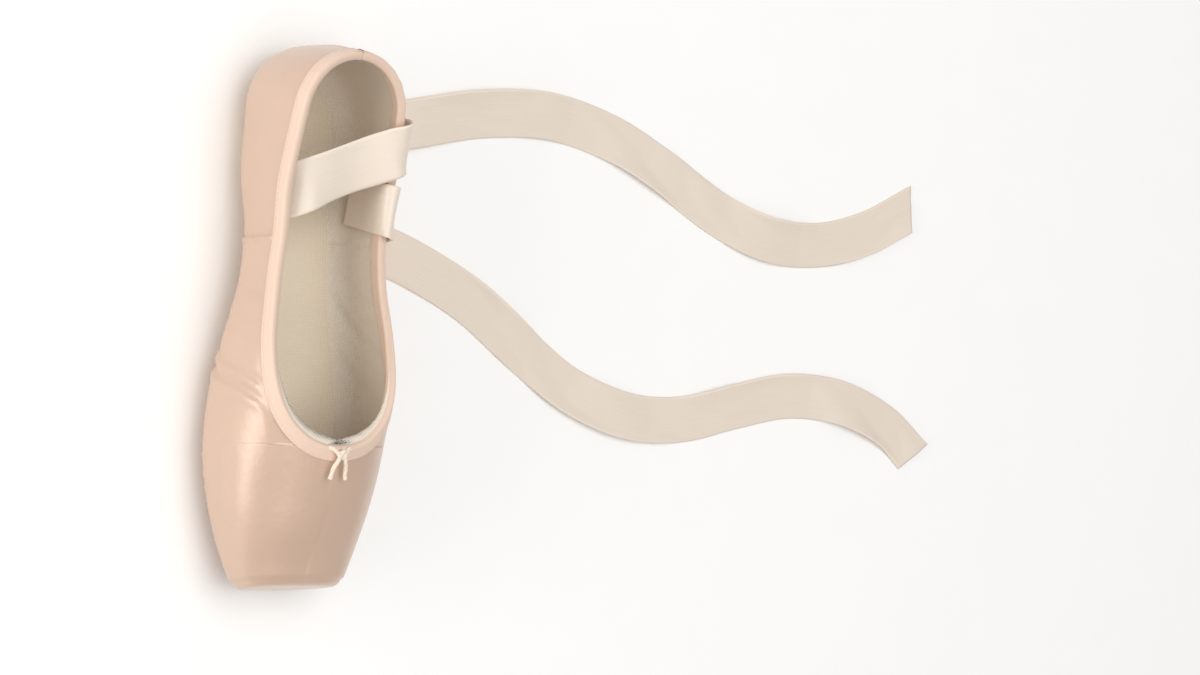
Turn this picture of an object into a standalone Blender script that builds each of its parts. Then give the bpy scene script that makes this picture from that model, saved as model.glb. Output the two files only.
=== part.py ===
"""Pointe shoe, empty and unbent, standing on its outsole.

Heel at -X, toe platform at +X, up +Z, metres. The last is straight, so the shoe
is the same on both sides of the plane y = 0 and fits either foot. Upper, binding,
outsole and insole are cut between larger and smaller copies of one form, the
last, so that they lie 0.3 mm apart. The two ribbons leave the quarters and lie
on the floor beside the shoe.
"""

import math

import bmesh
import bpy
import numpy as np
from mathutils import Vector

MM = 0.001

# Driving sizes of the shoe, in millimetres
LENGTH = 232.0
BALL_WIDTH = 79.0
THROAT_HEIGHT = 55.0
HEEL_HEIGHT = 58.0
PLATFORM_LEAN = math.radians(10.0)
PLATFORM_EDGE = 3.5
HEEL_AXIS = 28.0

# Thicknesses and clearances, in millimetres
QUARTER_WALL = 1.9
BOX_WALL = 3.0
PLATFORM_WALL = 5.0
OUTSOLE_THICK = 2.6
INSOLE_THICK = 1.6
BINDING_THICK = 0.7
BINDING_WIDTH = 6.5
GAP = 0.3

# Seams of the upper, in millimetres
SIDE_SEAM = 82.0
SIDE_SEAM_STEP = 0.35
BACK_SEAM_RIDGE = 0.45
BACK_SEAM_HALF_ANGLE = math.radians(2.5)

# Ribbons and drawstring, in millimetres
RIBBON_WIDTH = 22.0
RIBBON_THICK = 0.7
STRING_RADIUS = 0.9

# The last, a row for each section from heel to platform:
# along, fraction of the length; width, fraction of the ball width; floor, height
# of the underside in mm; wide and crown, heights of the widest point and of the
# top as fractions of the throat height; low and high, how square it is (2 is round)
LAST_COLUMNS = ("along", "width", "floor", "wide", "crown", "low", "high")
LAST = (
    (0.121, 0.722, 2.4, 0.40, 1.350, 2.7, 2.6),
    (0.216, 0.722, 2.5, 0.41, 1.350, 3.0, 2.8),
    (0.345, 0.684, 5.6, 0.44, 1.310, 2.8, 3.0),
    (0.431, 0.729, 6.6, 0.44, 1.250, 2.8, 2.9),
    (0.539, 0.861, 4.2, 0.41, 1.190, 3.0, 2.6),
    (0.647, 0.977, 2.5, 0.37, 1.100, 3.4, 2.4),
    (0.724, 1.000, 2.4, 0.35, 1.000, 3.4, 2.3),
    (0.819, 0.937, 2.9, 0.35, 0.885, 3.2, 2.3),
    (0.897, 0.830, 4.4, 0.36, 0.785, 3.0, 2.4),
    (0.957, 0.722, 7.0, 0.39, 0.700, 2.8, 2.5),
    (1.000, 0.620, 9.5, 0.41, 0.650, 2.6, 2.6),
)

# The collar's edge seen from the side, a row for each place:
# along, fraction of the length; height, fraction of the heel height
COLLAR_COLUMNS = ("along", "height")
COLLAR = (
    (0.000, 1.000),
    (0.086, 0.957),
    (0.181, 0.879),
    (0.302, 0.779),
    (0.409, 0.750),
    (0.517, 0.800),
    (0.625, 0.879),
    (0.690, 0.924),
    (0.724, THROAT_HEIGHT / HEEL_HEIGHT),
)

# The outsole between its round ends: along, fraction of the length;
# width, fraction of the ball width
OUTSOLE_COLUMNS = ("along", "width")
OUTSOLE = (
    (0.155, 0.475),
    (0.216, 0.450),
    (0.345, 0.325),
    (0.431, 0.310),
    (0.539, 0.430),
    (0.647, 0.610),
    (0.741, 0.660),
)
OUTSOLE_HEEL_END = 12.0
OUTSOLE_TOE_END = 203.0

# The insole between its round ends, in the same columns
INSOLE = (
    (0.155, 0.520),
    (0.345, 0.480),
    (0.431, 0.500),
    (0.647, 0.740),
    (0.741, 0.760),
)
INSOLE_HEEL_END = 10.0
INSOLE_TOE_END = 214.0

# How far the opening under the upper lies inside the outsole's edge
LASTING_MARGIN = 6.5

# Mesh spacing: angles of the heel's fan in degrees, sections in millimetres
HEEL_FAN = (0.0, 1.7, 3.3, 9.0, 18.0, 28.0, 38.0, 48.0, 58.0, 68.0, 79.0)
SECTION_STEP = 9.0
LOW_STEPS = 6
HIGH_STEPS = 11
EDGE_STEPS = 4

# Routes of the ribbons' centrelines, in millimetres from the origin: up inside
# the quarter, over the far edge of the collar, and loosely along the floor.
# The last three numbers of a row are the way that the ribbon's under face looks
NEAR_RIBBON = (
    (-47.5, -23.7, 19.0, 0.0, 1.0, 0.0),
    (-49.5, -24.1, 28.0, 0.0, 1.0, 0.0),
    (-52.0, -22.6, 37.0, 0.0, 0.9, -0.4),
    (-55.5, -17.0, 44.0, -0.1, 0.4, -0.9),
    (-60.0, -7.0, 46.0, -0.2, 0.0, -1.0),
    (-64.5, 4.0, 47.0, -0.2, -0.1, -1.0),
    (-68.5, 14.0, 49.8, -0.22, 0.2, -1.0),
    (-72.0, 22.5, 53.4, -0.22, 0.2, -1.0),
    (-74.5, 28.2, 53.8, -0.22, -0.5, -0.8),
    (-76.0, 31.0, 50.0, 0.0, -1.0, -0.3),
    (-77.2, 32.2, 40.0, 0.0, -1.0, 0.0),
    (-78.6, 33.2, 22.0, 0.0, -1.0, 0.0),
    (-80.4, 36.4, 8.0, 0.0, -0.8, -0.4),
    (-84.0, 48.0, 1.2, 0.0, 0.0, -1.0),
    (-90.0, 75.0, 0.8, 0.0, 0.0, -1.0),
    (-97.0, 112.0, 0.8, 0.0, 0.0, -1.0),
    (-99.0, 150.0, 0.8, 0.0, 0.0, -1.0),
    (-92.0, 188.0, 0.8, 0.0, 0.0, -1.0),
    (-78.0, 223.0, 0.8, 0.0, 0.0, -1.0),
    (-62.0, 256.0, 0.8, 0.0, 0.0, -1.0),
    (-51.0, 290.0, 0.8, 0.0, 0.0, -1.0),
    (-50.0, 326.0, 0.8, 0.0, 0.0, -1.0),
    (-58.0, 360.0, 0.8, 0.0, 0.0, -1.0),
    (-72.0, 391.0, 0.8, 0.0, 0.0, -1.0),
)
FAR_RIBBON = (
    (-52.6, 23.1, 20.0, 0.0, 1.0, 0.0),
    (-51.0, 23.8, 28.0, 0.0, 1.0, 0.0),
    (-49.5, 23.0, 38.0, 0.0, 1.0, 0.0),
    (-48.6, 22.5, 43.4, 0.0, 1.0, 0.0),
    (-48.0, 23.4, 47.0, -0.1, 0.7, -0.7),
    (-47.4, 25.8, 48.7, -0.14, 0.0, -1.0),
    (-46.8, 28.4, 47.2, -0.1, -0.7, -0.7),
    (-46.2, 29.5, 43.0, 0.0, -1.0, 0.0),
    (-44.4, 30.4, 30.0, 0.0, -1.0, 0.0),
    (-42.0, 31.8, 15.0, 0.0, -1.0, -0.1),
    (-39.4, 37.0, 5.0, 0.0, -0.6, -0.7),
    (-35.0, 49.0, 1.0, 0.0, 0.0, -1.0),
    (-27.0, 75.0, 0.8, 0.0, 0.0, -1.0),
    (-13.0, 107.0, 0.8, 0.0, 0.0, -1.0),
    (7.0, 138.0, 0.8, 0.0, 0.0, -1.0),
    (26.0, 170.0, 0.8, 0.0, 0.0, -1.0),
    (37.0, 205.0, 0.8, 0.0, 0.0, -1.0),
    (38.0, 241.0, 0.8, 0.0, 0.0, -1.0),
    (31.0, 276.0, 0.8, 0.0, 0.0, -1.0),
    (25.0, 311.0, 0.8, 0.0, 0.0, -1.0),
    (27.0, 346.0, 0.8, 0.0, 0.0, -1.0),
    (38.0, 380.0, 0.8, 0.0, 0.0, -1.0),
    (53.0, 402.0, 0.8, 0.0, 0.0, -1.0),
)
RIBBON_STEPS = 3


def interpolate(table, columns, column, at):
    """Value of a column at a fraction of the length, on a smooth curve that never overshoots."""
    rows = np.array(table)
    x = rows[:, columns.index("along")]
    y = rows[:, columns.index(column)]
    step = np.diff(x)
    rise = np.diff(y) / step
    slope = np.zeros(len(x))
    for k in range(1, len(x) - 1):
        if rise[k - 1] * rise[k] > 0.0:
            before = 2.0 * step[k] + step[k - 1]
            after = step[k] + 2.0 * step[k - 1]
            slope[k] = (before + after) / (before / rise[k - 1] + after / rise[k])
    slope[0] = rise[0]
    slope[-1] = rise[-1]
    at = min(max(at, x[0]), x[-1])
    k = min(int(np.searchsorted(x, at, side="right")) - 1, len(step) - 1)
    t = (at - x[k]) / step[k]
    return float(
        y[k] * (1.0 + 2.0 * t) * (1.0 - t) ** 2
        + y[k + 1] * t * t * (3.0 - 2.0 * t)
        + slope[k] * step[k] * t * (1.0 - t) ** 2
        - slope[k + 1] * step[k] * t * t * (1.0 - t)
    )


def ease(value, start, end):
    """0 before start, 1 after end, and a soft rise between them."""
    t = min(max((value - start) / (end - start), 0.0), 1.0)
    return t * t * (3.0 - 2.0 * t)


def last_section(along):
    """Half width, floor, widest height, crown and squareness of the last, in millimetres."""
    at = along / LENGTH
    value = {name: interpolate(LAST, LAST_COLUMNS, name, at) for name in LAST_COLUMNS}
    value["half"] = value["width"] * BALL_WIDTH / 2.0
    value["wide"] *= THROAT_HEIGHT
    value["crown"] *= THROAT_HEIGHT
    return value


def wall(along):
    """Thickness of the upper: quarters of satin and canvas, then the pasted box."""
    return QUARTER_WALL + (BOX_WALL - QUARTER_WALL) * ease(along, 120.0, 175.0)


def relief(along, angle):
    """How far the vamp laps over the quarter, and the back seam stands up."""
    if angle < BACK_SEAM_HALF_ANGLE and along < HEEL_AXIS:
        return BACK_SEAM_RIDGE
    return SIDE_SEAM_STEP if along > SIDE_SEAM else 0.0


def profile(section, grow):
    """Half section from the bottom of the centre line to its top, as (outward, height)."""
    half = section["half"] + grow
    points = []
    for k in range(LOW_STEPS + HIGH_STEPS + 1):
        low = k < LOW_STEPS
        if low:
            angle = -math.pi / 2.0 * (1.0 - k / LOW_STEPS)
            rise = section["wide"] - section["floor"] + grow
            power = 2.0 / section["low"]
        else:
            angle = math.pi / 2.0 * (k - LOW_STEPS) / HIGH_STEPS
            rise = section["crown"] - section["wide"] + grow
            power = 2.0 / section["high"]
        outward = half * max(math.cos(angle), 0.0) ** power
        height = rise * abs(math.sin(angle)) ** power
        points.append((outward, section["wide"] + (-height if low else height)))
    points[0] = (0.0, points[0][1])
    points[-1] = (0.0, points[-1][1])
    return points


def station_list():
    """Heel fan angles and section places: (place of the axis, angle of the fan)."""
    fan = [(HEEL_AXIS, math.radians(angle)) for angle in HEEL_FAN]
    quarter_end = SIDE_SEAM - 0.3
    vamp_start = SIDE_SEAM + 0.3
    edge_start = LENGTH - PLATFORM_EDGE
    quarter_count = round((quarter_end - HEEL_AXIS) / SECTION_STEP)
    vamp_count = round((edge_start - vamp_start) / SECTION_STEP)
    places = list(np.linspace(HEEL_AXIS, quarter_end, quarter_count + 1))
    places += list(np.linspace(vamp_start, edge_start, vamp_count + 1))
    return fan, places


def last_rings(grow, walls):
    """Rings of the form's +Y half, heel to platform, a ring for each station.

    grow moves the whole surface outwards; walls is 1 for a form inside the wall.
    """
    fan, places = station_list()
    outer = grow >= 0.0 and walls == 0
    rings = []
    heel = last_section(HEEL_AXIS)
    for axis, angle in fan:
        out = grow - walls * QUARTER_WALL + (relief(0.0, angle) if outer else 0.0)
        reach = (HEEL_AXIS + out) / (heel["half"] + out)
        stretch = reach + (1.0 - reach) * math.sin(angle) ** 2
        ring = []
        for outward, height in profile(heel, out):
            ring.append((
                axis - outward * stretch * math.cos(angle),
                outward * stretch * math.sin(angle),
                height,
            ))
        rings.append(ring)
    cap_shift = grow - walls * PLATFORM_WALL
    for place in places:
        section = last_section(place)
        out = grow - walls * wall(place) + (relief(place, math.pi) if outer else 0.0)
        moved = place + cap_shift * ease(place, 185.0, LENGTH)
        rings.append([(moved, outward, height) for outward, height in profile(section, out)])
    section = last_section(LENGTH)
    for k in range(1, EDGE_STEPS + 1):
        turn = math.pi / 2.0 * k / EDGE_STEPS
        inset = PLATFORM_EDGE * (1.0 - math.cos(turn))
        out = grow - walls * wall(LENGTH) - inset + (relief(LENGTH, math.pi) if outer else 0.0)
        moved = LENGTH - PLATFORM_EDGE * (1.0 - math.sin(turn)) + cap_shift
        rings.append([(moved, outward, height) for outward, height in profile(section, out)])
    return rings


def to_shoe(along, across, height):
    """A point of the last, in metres, with the toe leant back at its platform."""
    low_edge = last_section(LENGTH)["floor"]
    lean = math.tan(PLATFORM_LEAN) * (height - low_edge) * ease(along, 195.0, LENGTH)
    return Vector(((along - lean - LENGTH / 2.0) * MM, across * MM, height * MM))


def new_object(name, bm):
    """An object of this name from a bmesh, with its faces pointing out."""
    bmesh.ops.recalc_face_normals(bm, faces=bm.faces)
    mesh = bpy.data.meshes.new(name)
    bm.to_mesh(mesh)
    bm.free()
    obj = bpy.data.objects.new(name, mesh)
    bpy.context.scene.collection.objects.link(obj)
    return obj


def last_form(name, grow, walls=0):
    """The closed last, moved outwards by grow, or inwards through its wall and grow."""
    bm = bmesh.new()
    rings = last_rings(grow, walls)
    for side in (1.0, -1.0):
        grid = [[bm.verts.new(to_shoe(x, side * y, z)) for x, y, z in ring] for ring in rings]
        for ring, following in zip(grid, grid[1:]):
            for a, b, c, d in zip(ring, ring[1:], following[1:], following):
                bm.faces.new((a, b, c, d))
    bmesh.ops.remove_doubles(bm, verts=bm.verts, dist=0.00001)
    rim = [edge for edge in bm.edges if edge.is_boundary]
    bmesh.ops.contextual_create(bm, geom=rim)
    return new_object(name, bm)


def prism_across(name, points, half_width=70.0):
    """A solid with this outline in side view, (along, height), right across the shoe."""
    bm = bmesh.new()
    face = bm.faces.new([
        bm.verts.new(((x - LENGTH / 2.0) * MM, -half_width * MM, z * MM)) for x, z in points
    ])
    grown = bmesh.ops.extrude_face_region(bm, geom=[face])["geom"]
    moved = [item for item in grown if isinstance(item, bmesh.types.BMVert)]
    bmesh.ops.translate(bm, verts=moved, vec=(0.0, 2.0 * half_width * MM, 0.0))
    return new_object(name, bm)


def prism_up(name, points, low, high):
    """A solid with this outline from above, (along, across), between two heights."""
    bm = bmesh.new()
    face = bm.faces.new([
        bm.verts.new(((x - LENGTH / 2.0) * MM, y * MM, low * MM)) for x, y in points
    ])
    grown = bmesh.ops.extrude_face_region(bm, geom=[face])["geom"]
    moved = [item for item in grown if isinstance(item, bmesh.types.BMVert)]
    bmesh.ops.translate(bm, verts=moved, vec=(0.0, 0.0, (high - low) * MM))
    return new_object(name, bm)


def combine(target, tool, operation):
    """Boolean of target with tool, applied; the tool is used up."""
    modifier = target.modifiers.new(operation.lower(), "BOOLEAN")
    modifier.operation = operation
    modifier.solver = "EXACT"
    modifier.object = tool
    bpy.context.view_layer.update()
    graph = bpy.context.evaluated_depsgraph_get()
    result = bpy.data.meshes.new_from_object(target.evaluated_get(graph))
    target.modifiers.clear()
    spent = target.data
    target.data = result
    bpy.data.meshes.remove(spent)
    bpy.data.objects.remove(tool)
    result.name = target.name
    return target


def level(along, across, height):
    """Under 1 inside the last, over 1 outside it."""
    section = last_section(max(along, HEEL_AXIS))
    reach = abs(across)
    if along < HEEL_AXIS:
        reach = math.hypot((along - HEEL_AXIS) * section["half"] / HEEL_AXIS, across)
    above = height >= section["wide"]
    power = section["high"] if above else section["low"]
    rise = section["crown"] - section["wide"] if above else section["wide"] - section["floor"]
    return (reach / section["half"]) ** power + (abs(height - section["wide"]) / rise) ** power


def surface_normal(point):
    """Outward normal of the last at a point of its surface."""
    step = 0.05
    slope = []
    for axis in range(3):
        ahead = list(point)
        behind = list(point)
        ahead[axis] += step
        behind[axis] -= step
        slope.append(level(*ahead) - level(*behind))
    return Vector(slope).normalized()


def half_opening(along, height):
    """Half width of the last at this place and height."""
    section = last_section(max(along, HEEL_AXIS))
    share = max(height - section["wide"], 0.0) / (section["crown"] - section["wide"])
    half = section["half"] * max(1.0 - share ** section["high"], 0.0) ** (1.0 / section["high"])
    if along < HEEL_AXIS:
        reach = (HEEL_AXIS - along) * section["half"] / HEEL_AXIS
        half = math.sqrt(max(half * half - reach * reach, 0.0))
    return half


def collar_curve(drop):
    """Side view of a line that runs round the collar, drop millimetres below its edge."""
    throat = COLLAR[-1][0] * LENGTH
    edge = []
    for k in range(49):
        share = k / 48.0
        along = throat * (1.0 - share * share * 0.6 - 0.4 * share ** 3)
        height = HEEL_HEIGHT * interpolate(COLLAR, COLLAR_COLUMNS, "height", along / LENGTH)
        edge.append(Vector((along, half_opening(along, height), height)))
    if drop == 0.0:
        return [(point.x, point.z) for point in reversed(edge)]
    line = []
    for k, point in enumerate(edge):
        if k == 0:
            tangent = Vector((0.0, 1.0, 0.0))
        elif point.x < HEEL_AXIS:
            tangent = None
        else:
            tangent = (edge[k + 1] - edge[k - 1]).normalized()
        if tangent is None:
            line.append((point.x, point.z - drop))
            continue
        down = tangent.cross(surface_normal(point)).normalized()
        if down.z > 0.0:
            down.negate()
        moved = point + down * drop
        line.append((moved.x, moved.z))
    return list(reversed(line))


def above_collar(name, drop):
    """Everything above the collar line that lies drop millimetres under the edge."""
    line = collar_curve(drop)
    top = 110.0
    return prism_across(name, [(-20.0, line[0][1])] + line + [(line[-1][0], top), (-20.0, top)])


def shoe_outline(table, heel_end, toe_end, inset):
    """Plan outline of a sole: table between a round heel and a round toe."""
    def half(along):
        width = interpolate(table, OUTSOLE_COLUMNS, "width", along / LENGTH)
        return width * BALL_WIDTH / 2.0 - inset

    heel_centre = table[0][0] * LENGTH
    toe_centre = table[-1][0] * LENGTH
    side = []
    for k in range(1, 9):
        turn = math.pi / 2.0 * k / 8.0
        reach = heel_centre - heel_end - inset
        side.append((heel_centre - reach * math.cos(turn), half(heel_centre) * math.sin(turn)))
    for along in np.linspace(heel_centre, toe_centre, 17)[1:-1]:
        side.append((float(along), half(float(along))))
    for k in range(9):
        turn = math.pi / 2.0 * k / 9.0
        reach = toe_end - toe_centre - inset
        side.append((toe_centre + reach * math.sin(turn), half(toe_centre) * math.cos(turn) ** 0.9))
    other = [(x, -y) for x, y in reversed(side)]
    return [(heel_end + inset, 0.0)] + side + [(toe_end - inset, 0.0)] + other


def make_upper():
    """One hollow shell: quarters, vamp, box and platform, open at collar and underneath."""
    upper = last_form("upper", 0.0)
    combine(upper, last_form("inside", 0.0, walls=1), "DIFFERENCE")
    combine(upper, above_collar("collar", BINDING_THICK + GAP), "DIFFERENCE")
    opening = shoe_outline(OUTSOLE, OUTSOLE_HEEL_END, OUTSOLE_TOE_END, LASTING_MARGIN)
    combine(upper, prism_up("sole_opening", opening, -5.0, 14.0), "DIFFERENCE")
    return upper


def make_binding():
    """A folded band over the collar's edge, outside, over the top and inside."""
    binding = last_form("throat_binding", GAP + BINDING_THICK)
    combine(binding, last_form("inside", -GAP - BINDING_THICK, walls=1), "DIFFERENCE")
    combine(binding, above_collar("edge", 0.0), "DIFFERENCE")
    band = above_collar("band", BINDING_WIDTH)
    combine(binding, band, "INTERSECT")
    slot = last_form("slot", GAP)
    combine(slot, last_form("slot_inside", -GAP, walls=1), "DIFFERENCE")
    combine(slot, above_collar("slot_top", BINDING_THICK), "DIFFERENCE")
    combine(binding, slot, "DIFFERENCE")
    return binding


def make_outsole():
    """Suede sole under the last, flat where heel and ball stand on the floor."""
    sole = last_form("outsole", GAP + OUTSOLE_THICK)
    combine(sole, last_form("above", GAP), "DIFFERENCE")
    outline = shoe_outline(OUTSOLE, OUTSOLE_HEEL_END, OUTSOLE_TOE_END, 0.0)
    combine(sole, prism_up("outline", outline, 0.0, 14.0), "INTERSECT")
    return sole


def make_insole():
    """Sock lining on the bottom of the upper, inside."""
    insole = last_form("insole", -GAP, walls=1)
    combine(insole, last_form("above", -GAP - INSOLE_THICK, walls=1), "DIFFERENCE")
    outline = shoe_outline(INSOLE, INSOLE_HEEL_END, INSOLE_TOE_END, 0.0)
    combine(insole, prism_up("outline", outline, -1.0, 24.0), "INTERSECT")
    return insole


def make_knot():
    """The drawstring's knot on the binding at the throat, with its two short ends."""
    throat = COLLAR[-1][0] * LENGTH
    seat = to_shoe(throat + 3.4, 0.0, last_section(throat + 3.4)["crown"])
    lift = (GAP + BINDING_THICK + GAP + SIDE_SEAM_STEP + 1.6) * MM
    bm = bmesh.new()
    bmesh.ops.create_icosphere(bm, subdivisions=2, radius=1.0)
    bmesh.ops.scale(bm, verts=bm.verts, vec=(2.2 * MM, 2.9 * MM, 1.5 * MM))
    bmesh.ops.translate(bm, verts=bm.verts, vec=seat + Vector((0.0, 0.0, lift)))
    knot = new_object("drawstring_knot", bm)
    for side in (1.0, -1.0):
        route = [
            seat + Vector((0.0005, side * 0.0006, lift)),
            seat + Vector((0.0040, side * 0.0024, lift - 0.0008)),
            seat + Vector((0.0075, side * 0.0036, lift - 0.0018)),
            seat + Vector((0.0105, side * 0.0040, lift - 0.0026)),
        ]
        combine(knot, tube("string_end", route, STRING_RADIUS * MM), "UNION")
    return knot


def tube(name, route, radius):
    """A round cord along a short route, closed at both ends."""
    curve = bpy.data.curves.new(name, "CURVE")
    curve.dimensions = "3D"
    spline = curve.splines.new("POLY")
    spline.points.add(len(route) - 1)
    for point, place in zip(spline.points, route):
        point.co = (*place, 1.0)
    curve.bevel_depth = radius
    curve.bevel_resolution = 2
    curve.use_fill_caps = True
    guide = bpy.data.objects.new(name, curve)
    bpy.context.scene.collection.objects.link(guide)
    bpy.context.view_layer.update()
    graph = bpy.context.evaluated_depsgraph_get()
    mesh = bpy.data.meshes.new_from_object(guide.evaluated_get(graph))
    bpy.data.objects.remove(guide)
    bm = bmesh.new()
    bm.from_mesh(mesh)
    bpy.data.meshes.remove(mesh)
    bmesh.ops.remove_doubles(bm, verts=bm.verts, dist=0.00001)
    return new_object(name, bm)


def smooth_route(rows, steps):
    """Rows of numbers on a smooth curve through the route's own rows."""
    knots = [np.array(row) for row in rows]
    knots = [2.0 * knots[0] - knots[1]] + knots + [2.0 * knots[-1] - knots[-2]]
    route = []
    for before, start, end, after in zip(knots, knots[1:], knots[2:], knots[3:]):
        for k in range(steps):
            t = k / steps
            route.append(0.5 * (
                2.0 * start
                + (end - before) * t
                + (2.0 * before - 5.0 * start + 4.0 * end - after) * t * t
                + (3.0 * start - before - 3.0 * end + after) * t ** 3
            ))
    route.append(knots[-2])
    return route


def make_ribbon(name, rows):
    """A flat satin ribbon along its route, with its faces turned as the route says."""
    route = smooth_route(rows, RIBBON_STEPS)
    places = [Vector(row[:3]) for row in route]
    bm = bmesh.new()
    rings = []
    for k, row in enumerate(route):
        tangent = places[min(k + 1, len(places) - 1)] - places[max(k - 1, 0)]
        across = tangent.cross(Vector(row[3:])).normalized()
        half = across * RIBBON_WIDTH / 2.0
        lift = tangent.cross(across).normalized() * RIBBON_THICK / 2.0
        corners = (-half - lift, half - lift, half + lift, -half + lift)
        rings.append([bm.verts.new((places[k] + corner) * MM) for corner in corners])
    for ring, following in zip(rings, rings[1:]):
        for k in range(4):
            bm.faces.new((ring[k - 1], ring[k], following[k], following[k - 1]))
    bm.faces.new(rings[0])
    bm.faces.new(rings[-1])
    return new_object(name, bm)


def material(name, colour, roughness):
    """A Principled material; the colour is given as linear red, green and blue."""
    made = bpy.data.materials.new(name)
    made.use_nodes = True
    shader = made.node_tree.nodes["Principled BSDF"]
    shader.inputs["Base Color"].default_value = (*colour, 1.0)
    shader.inputs["Roughness"].default_value = roughness
    shader.inputs["Metallic"].default_value = 0.0
    return made


def main():
    """Clear the scene, then build every piece and give it its material."""
    for obj in list(bpy.data.objects):
        bpy.data.objects.remove(obj)
    satin = ("peach_satin", (0.82, 0.64, 0.51), 0.35)
    pieces = (
        (make_upper(), satin),
        (make_binding(), ("binding_satin", (0.86, 0.69, 0.56), 0.45)),
        (make_outsole(), ("suede", (0.72, 0.60, 0.40), 0.9)),
        (make_insole(), ("sock_lining", (0.80, 0.74, 0.66), 0.8)),
        (make_knot(), ("cotton_string", (0.90, 0.80, 0.68), 0.8)),
        (make_ribbon("near_ribbon", NEAR_RIBBON), ("ribbon_satin", (0.82, 0.72, 0.62), 0.4)),
        (make_ribbon("far_ribbon", FAR_RIBBON), ("ribbon_satin", (0.82, 0.72, 0.62), 0.4)),
    )
    for obj, (name, colour, roughness) in pieces:
        obj.data.materials.clear()
        obj.data.materials.append(material(name, colour, roughness))


main()
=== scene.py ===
"""A satin pointe shoe, empty and unbent, with its two ribbons lying beside it.

Every piece is laid on the sections of one form, the last, in the shoe's own sizes.
Places are worked out in millimetres, heel at the start of the length, and become
metres in the frame of the solids: heel at -X, platform at +X, up +Z.
"""

import math

import bmesh
import bpy
import numpy as np
from mathutils import Matrix, Vector
from mathutils.bvhtree import BVHTree


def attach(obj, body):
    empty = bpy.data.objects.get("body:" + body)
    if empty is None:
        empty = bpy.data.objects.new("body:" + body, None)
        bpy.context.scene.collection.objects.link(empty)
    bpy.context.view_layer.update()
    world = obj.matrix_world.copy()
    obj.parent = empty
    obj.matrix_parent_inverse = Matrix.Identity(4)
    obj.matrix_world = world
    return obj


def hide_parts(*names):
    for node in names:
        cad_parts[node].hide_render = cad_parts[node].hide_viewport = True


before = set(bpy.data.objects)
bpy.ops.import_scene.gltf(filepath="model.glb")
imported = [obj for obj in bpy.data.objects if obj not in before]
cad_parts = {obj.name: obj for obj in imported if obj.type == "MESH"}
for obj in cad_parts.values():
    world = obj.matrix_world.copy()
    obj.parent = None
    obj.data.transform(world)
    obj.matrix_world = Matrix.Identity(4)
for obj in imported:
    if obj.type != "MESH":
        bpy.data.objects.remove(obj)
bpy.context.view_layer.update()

bl_info = {
    "name": "Pointe shoe",
    "version": (1, 0, 0),
    "blender": (4, 5, 0),
    "location": "3D View > Sidebar > Pointe shoe",
    "description": "Models a satin pointe shoe on the frame of its solids",
    "category": "Object",
}

BODY = "root"
MM = 0.001

# The last, in millimetres, as the solids have it
LENGTH = 232.0
BALL_WIDTH = 79.0
THROAT_HEIGHT = 55.0
HEEL_HEIGHT = 58.0
PLATFORM_LEAN = math.radians(10.0)
PLATFORM_EDGE = 3.5
HEEL_AXIS = 28.0
QUARTER_WALL = 1.9
BOX_WALL = 3.0
PLATFORM_WALL = 5.0
GAP = 0.3
SIDE_SEAM = 82.0
THROAT = 0.724 * LENGTH

# A row for each section: along, fraction of the length; width, fraction of the
# ball width; floor, height of the underside in mm; wide and crown, heights of the
# widest point and the top over the throat height; low and high, how square it is
LAST_COLUMNS = ("along", "width", "floor", "wide", "crown", "low", "high")
LAST = np.array((
    (0.121, 0.722, 2.4, 0.40, 1.350, 2.7, 2.6),
    (0.216, 0.722, 2.5, 0.41, 1.350, 3.0, 2.8),
    (0.345, 0.684, 5.6, 0.44, 1.310, 2.8, 3.0),
    (0.431, 0.729, 6.6, 0.44, 1.250, 2.8, 2.9),
    (0.539, 0.861, 4.2, 0.41, 1.190, 3.0, 2.6),
    (0.647, 0.977, 2.5, 0.37, 1.100, 3.4, 2.4),
    (0.724, 1.000, 2.4, 0.35, 1.000, 3.4, 2.3),
    (0.819, 0.937, 2.9, 0.35, 0.885, 3.2, 2.3),
    (0.897, 0.830, 4.4, 0.36, 0.785, 3.0, 2.4),
    (0.957, 0.722, 7.0, 0.39, 0.700, 2.8, 2.5),
    (1.000, 0.620, 9.5, 0.41, 0.650, 2.6, 2.6),
))
# The collar's edge from the side: along, height over the heel height
COLLAR = np.array((
    (0.000, 1.000), (0.086, 0.957), (0.181, 0.879), (0.302, 0.779), (0.409, 0.750),
    (0.517, 0.800), (0.625, 0.879), (0.690, 0.924), (0.724, THROAT_HEIGHT / HEEL_HEIGHT),
))
# Outlines of the soles between their round ends: along, width over the ball width
OUTSOLE = np.array((
    (0.155, 0.475), (0.216, 0.450), (0.345, 0.325), (0.431, 0.310),
    (0.539, 0.430), (0.647, 0.610), (0.741, 0.660),
))
OUTSOLE_ENDS = (12.0, 203.0)
INSOLE = np.array((
    (0.155, 0.520), (0.345, 0.480), (0.431, 0.500), (0.647, 0.740), (0.741, 0.760),
))
INSOLE_ENDS = (10.0, 214.0)
LASTING_MARGIN = 6.5

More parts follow.
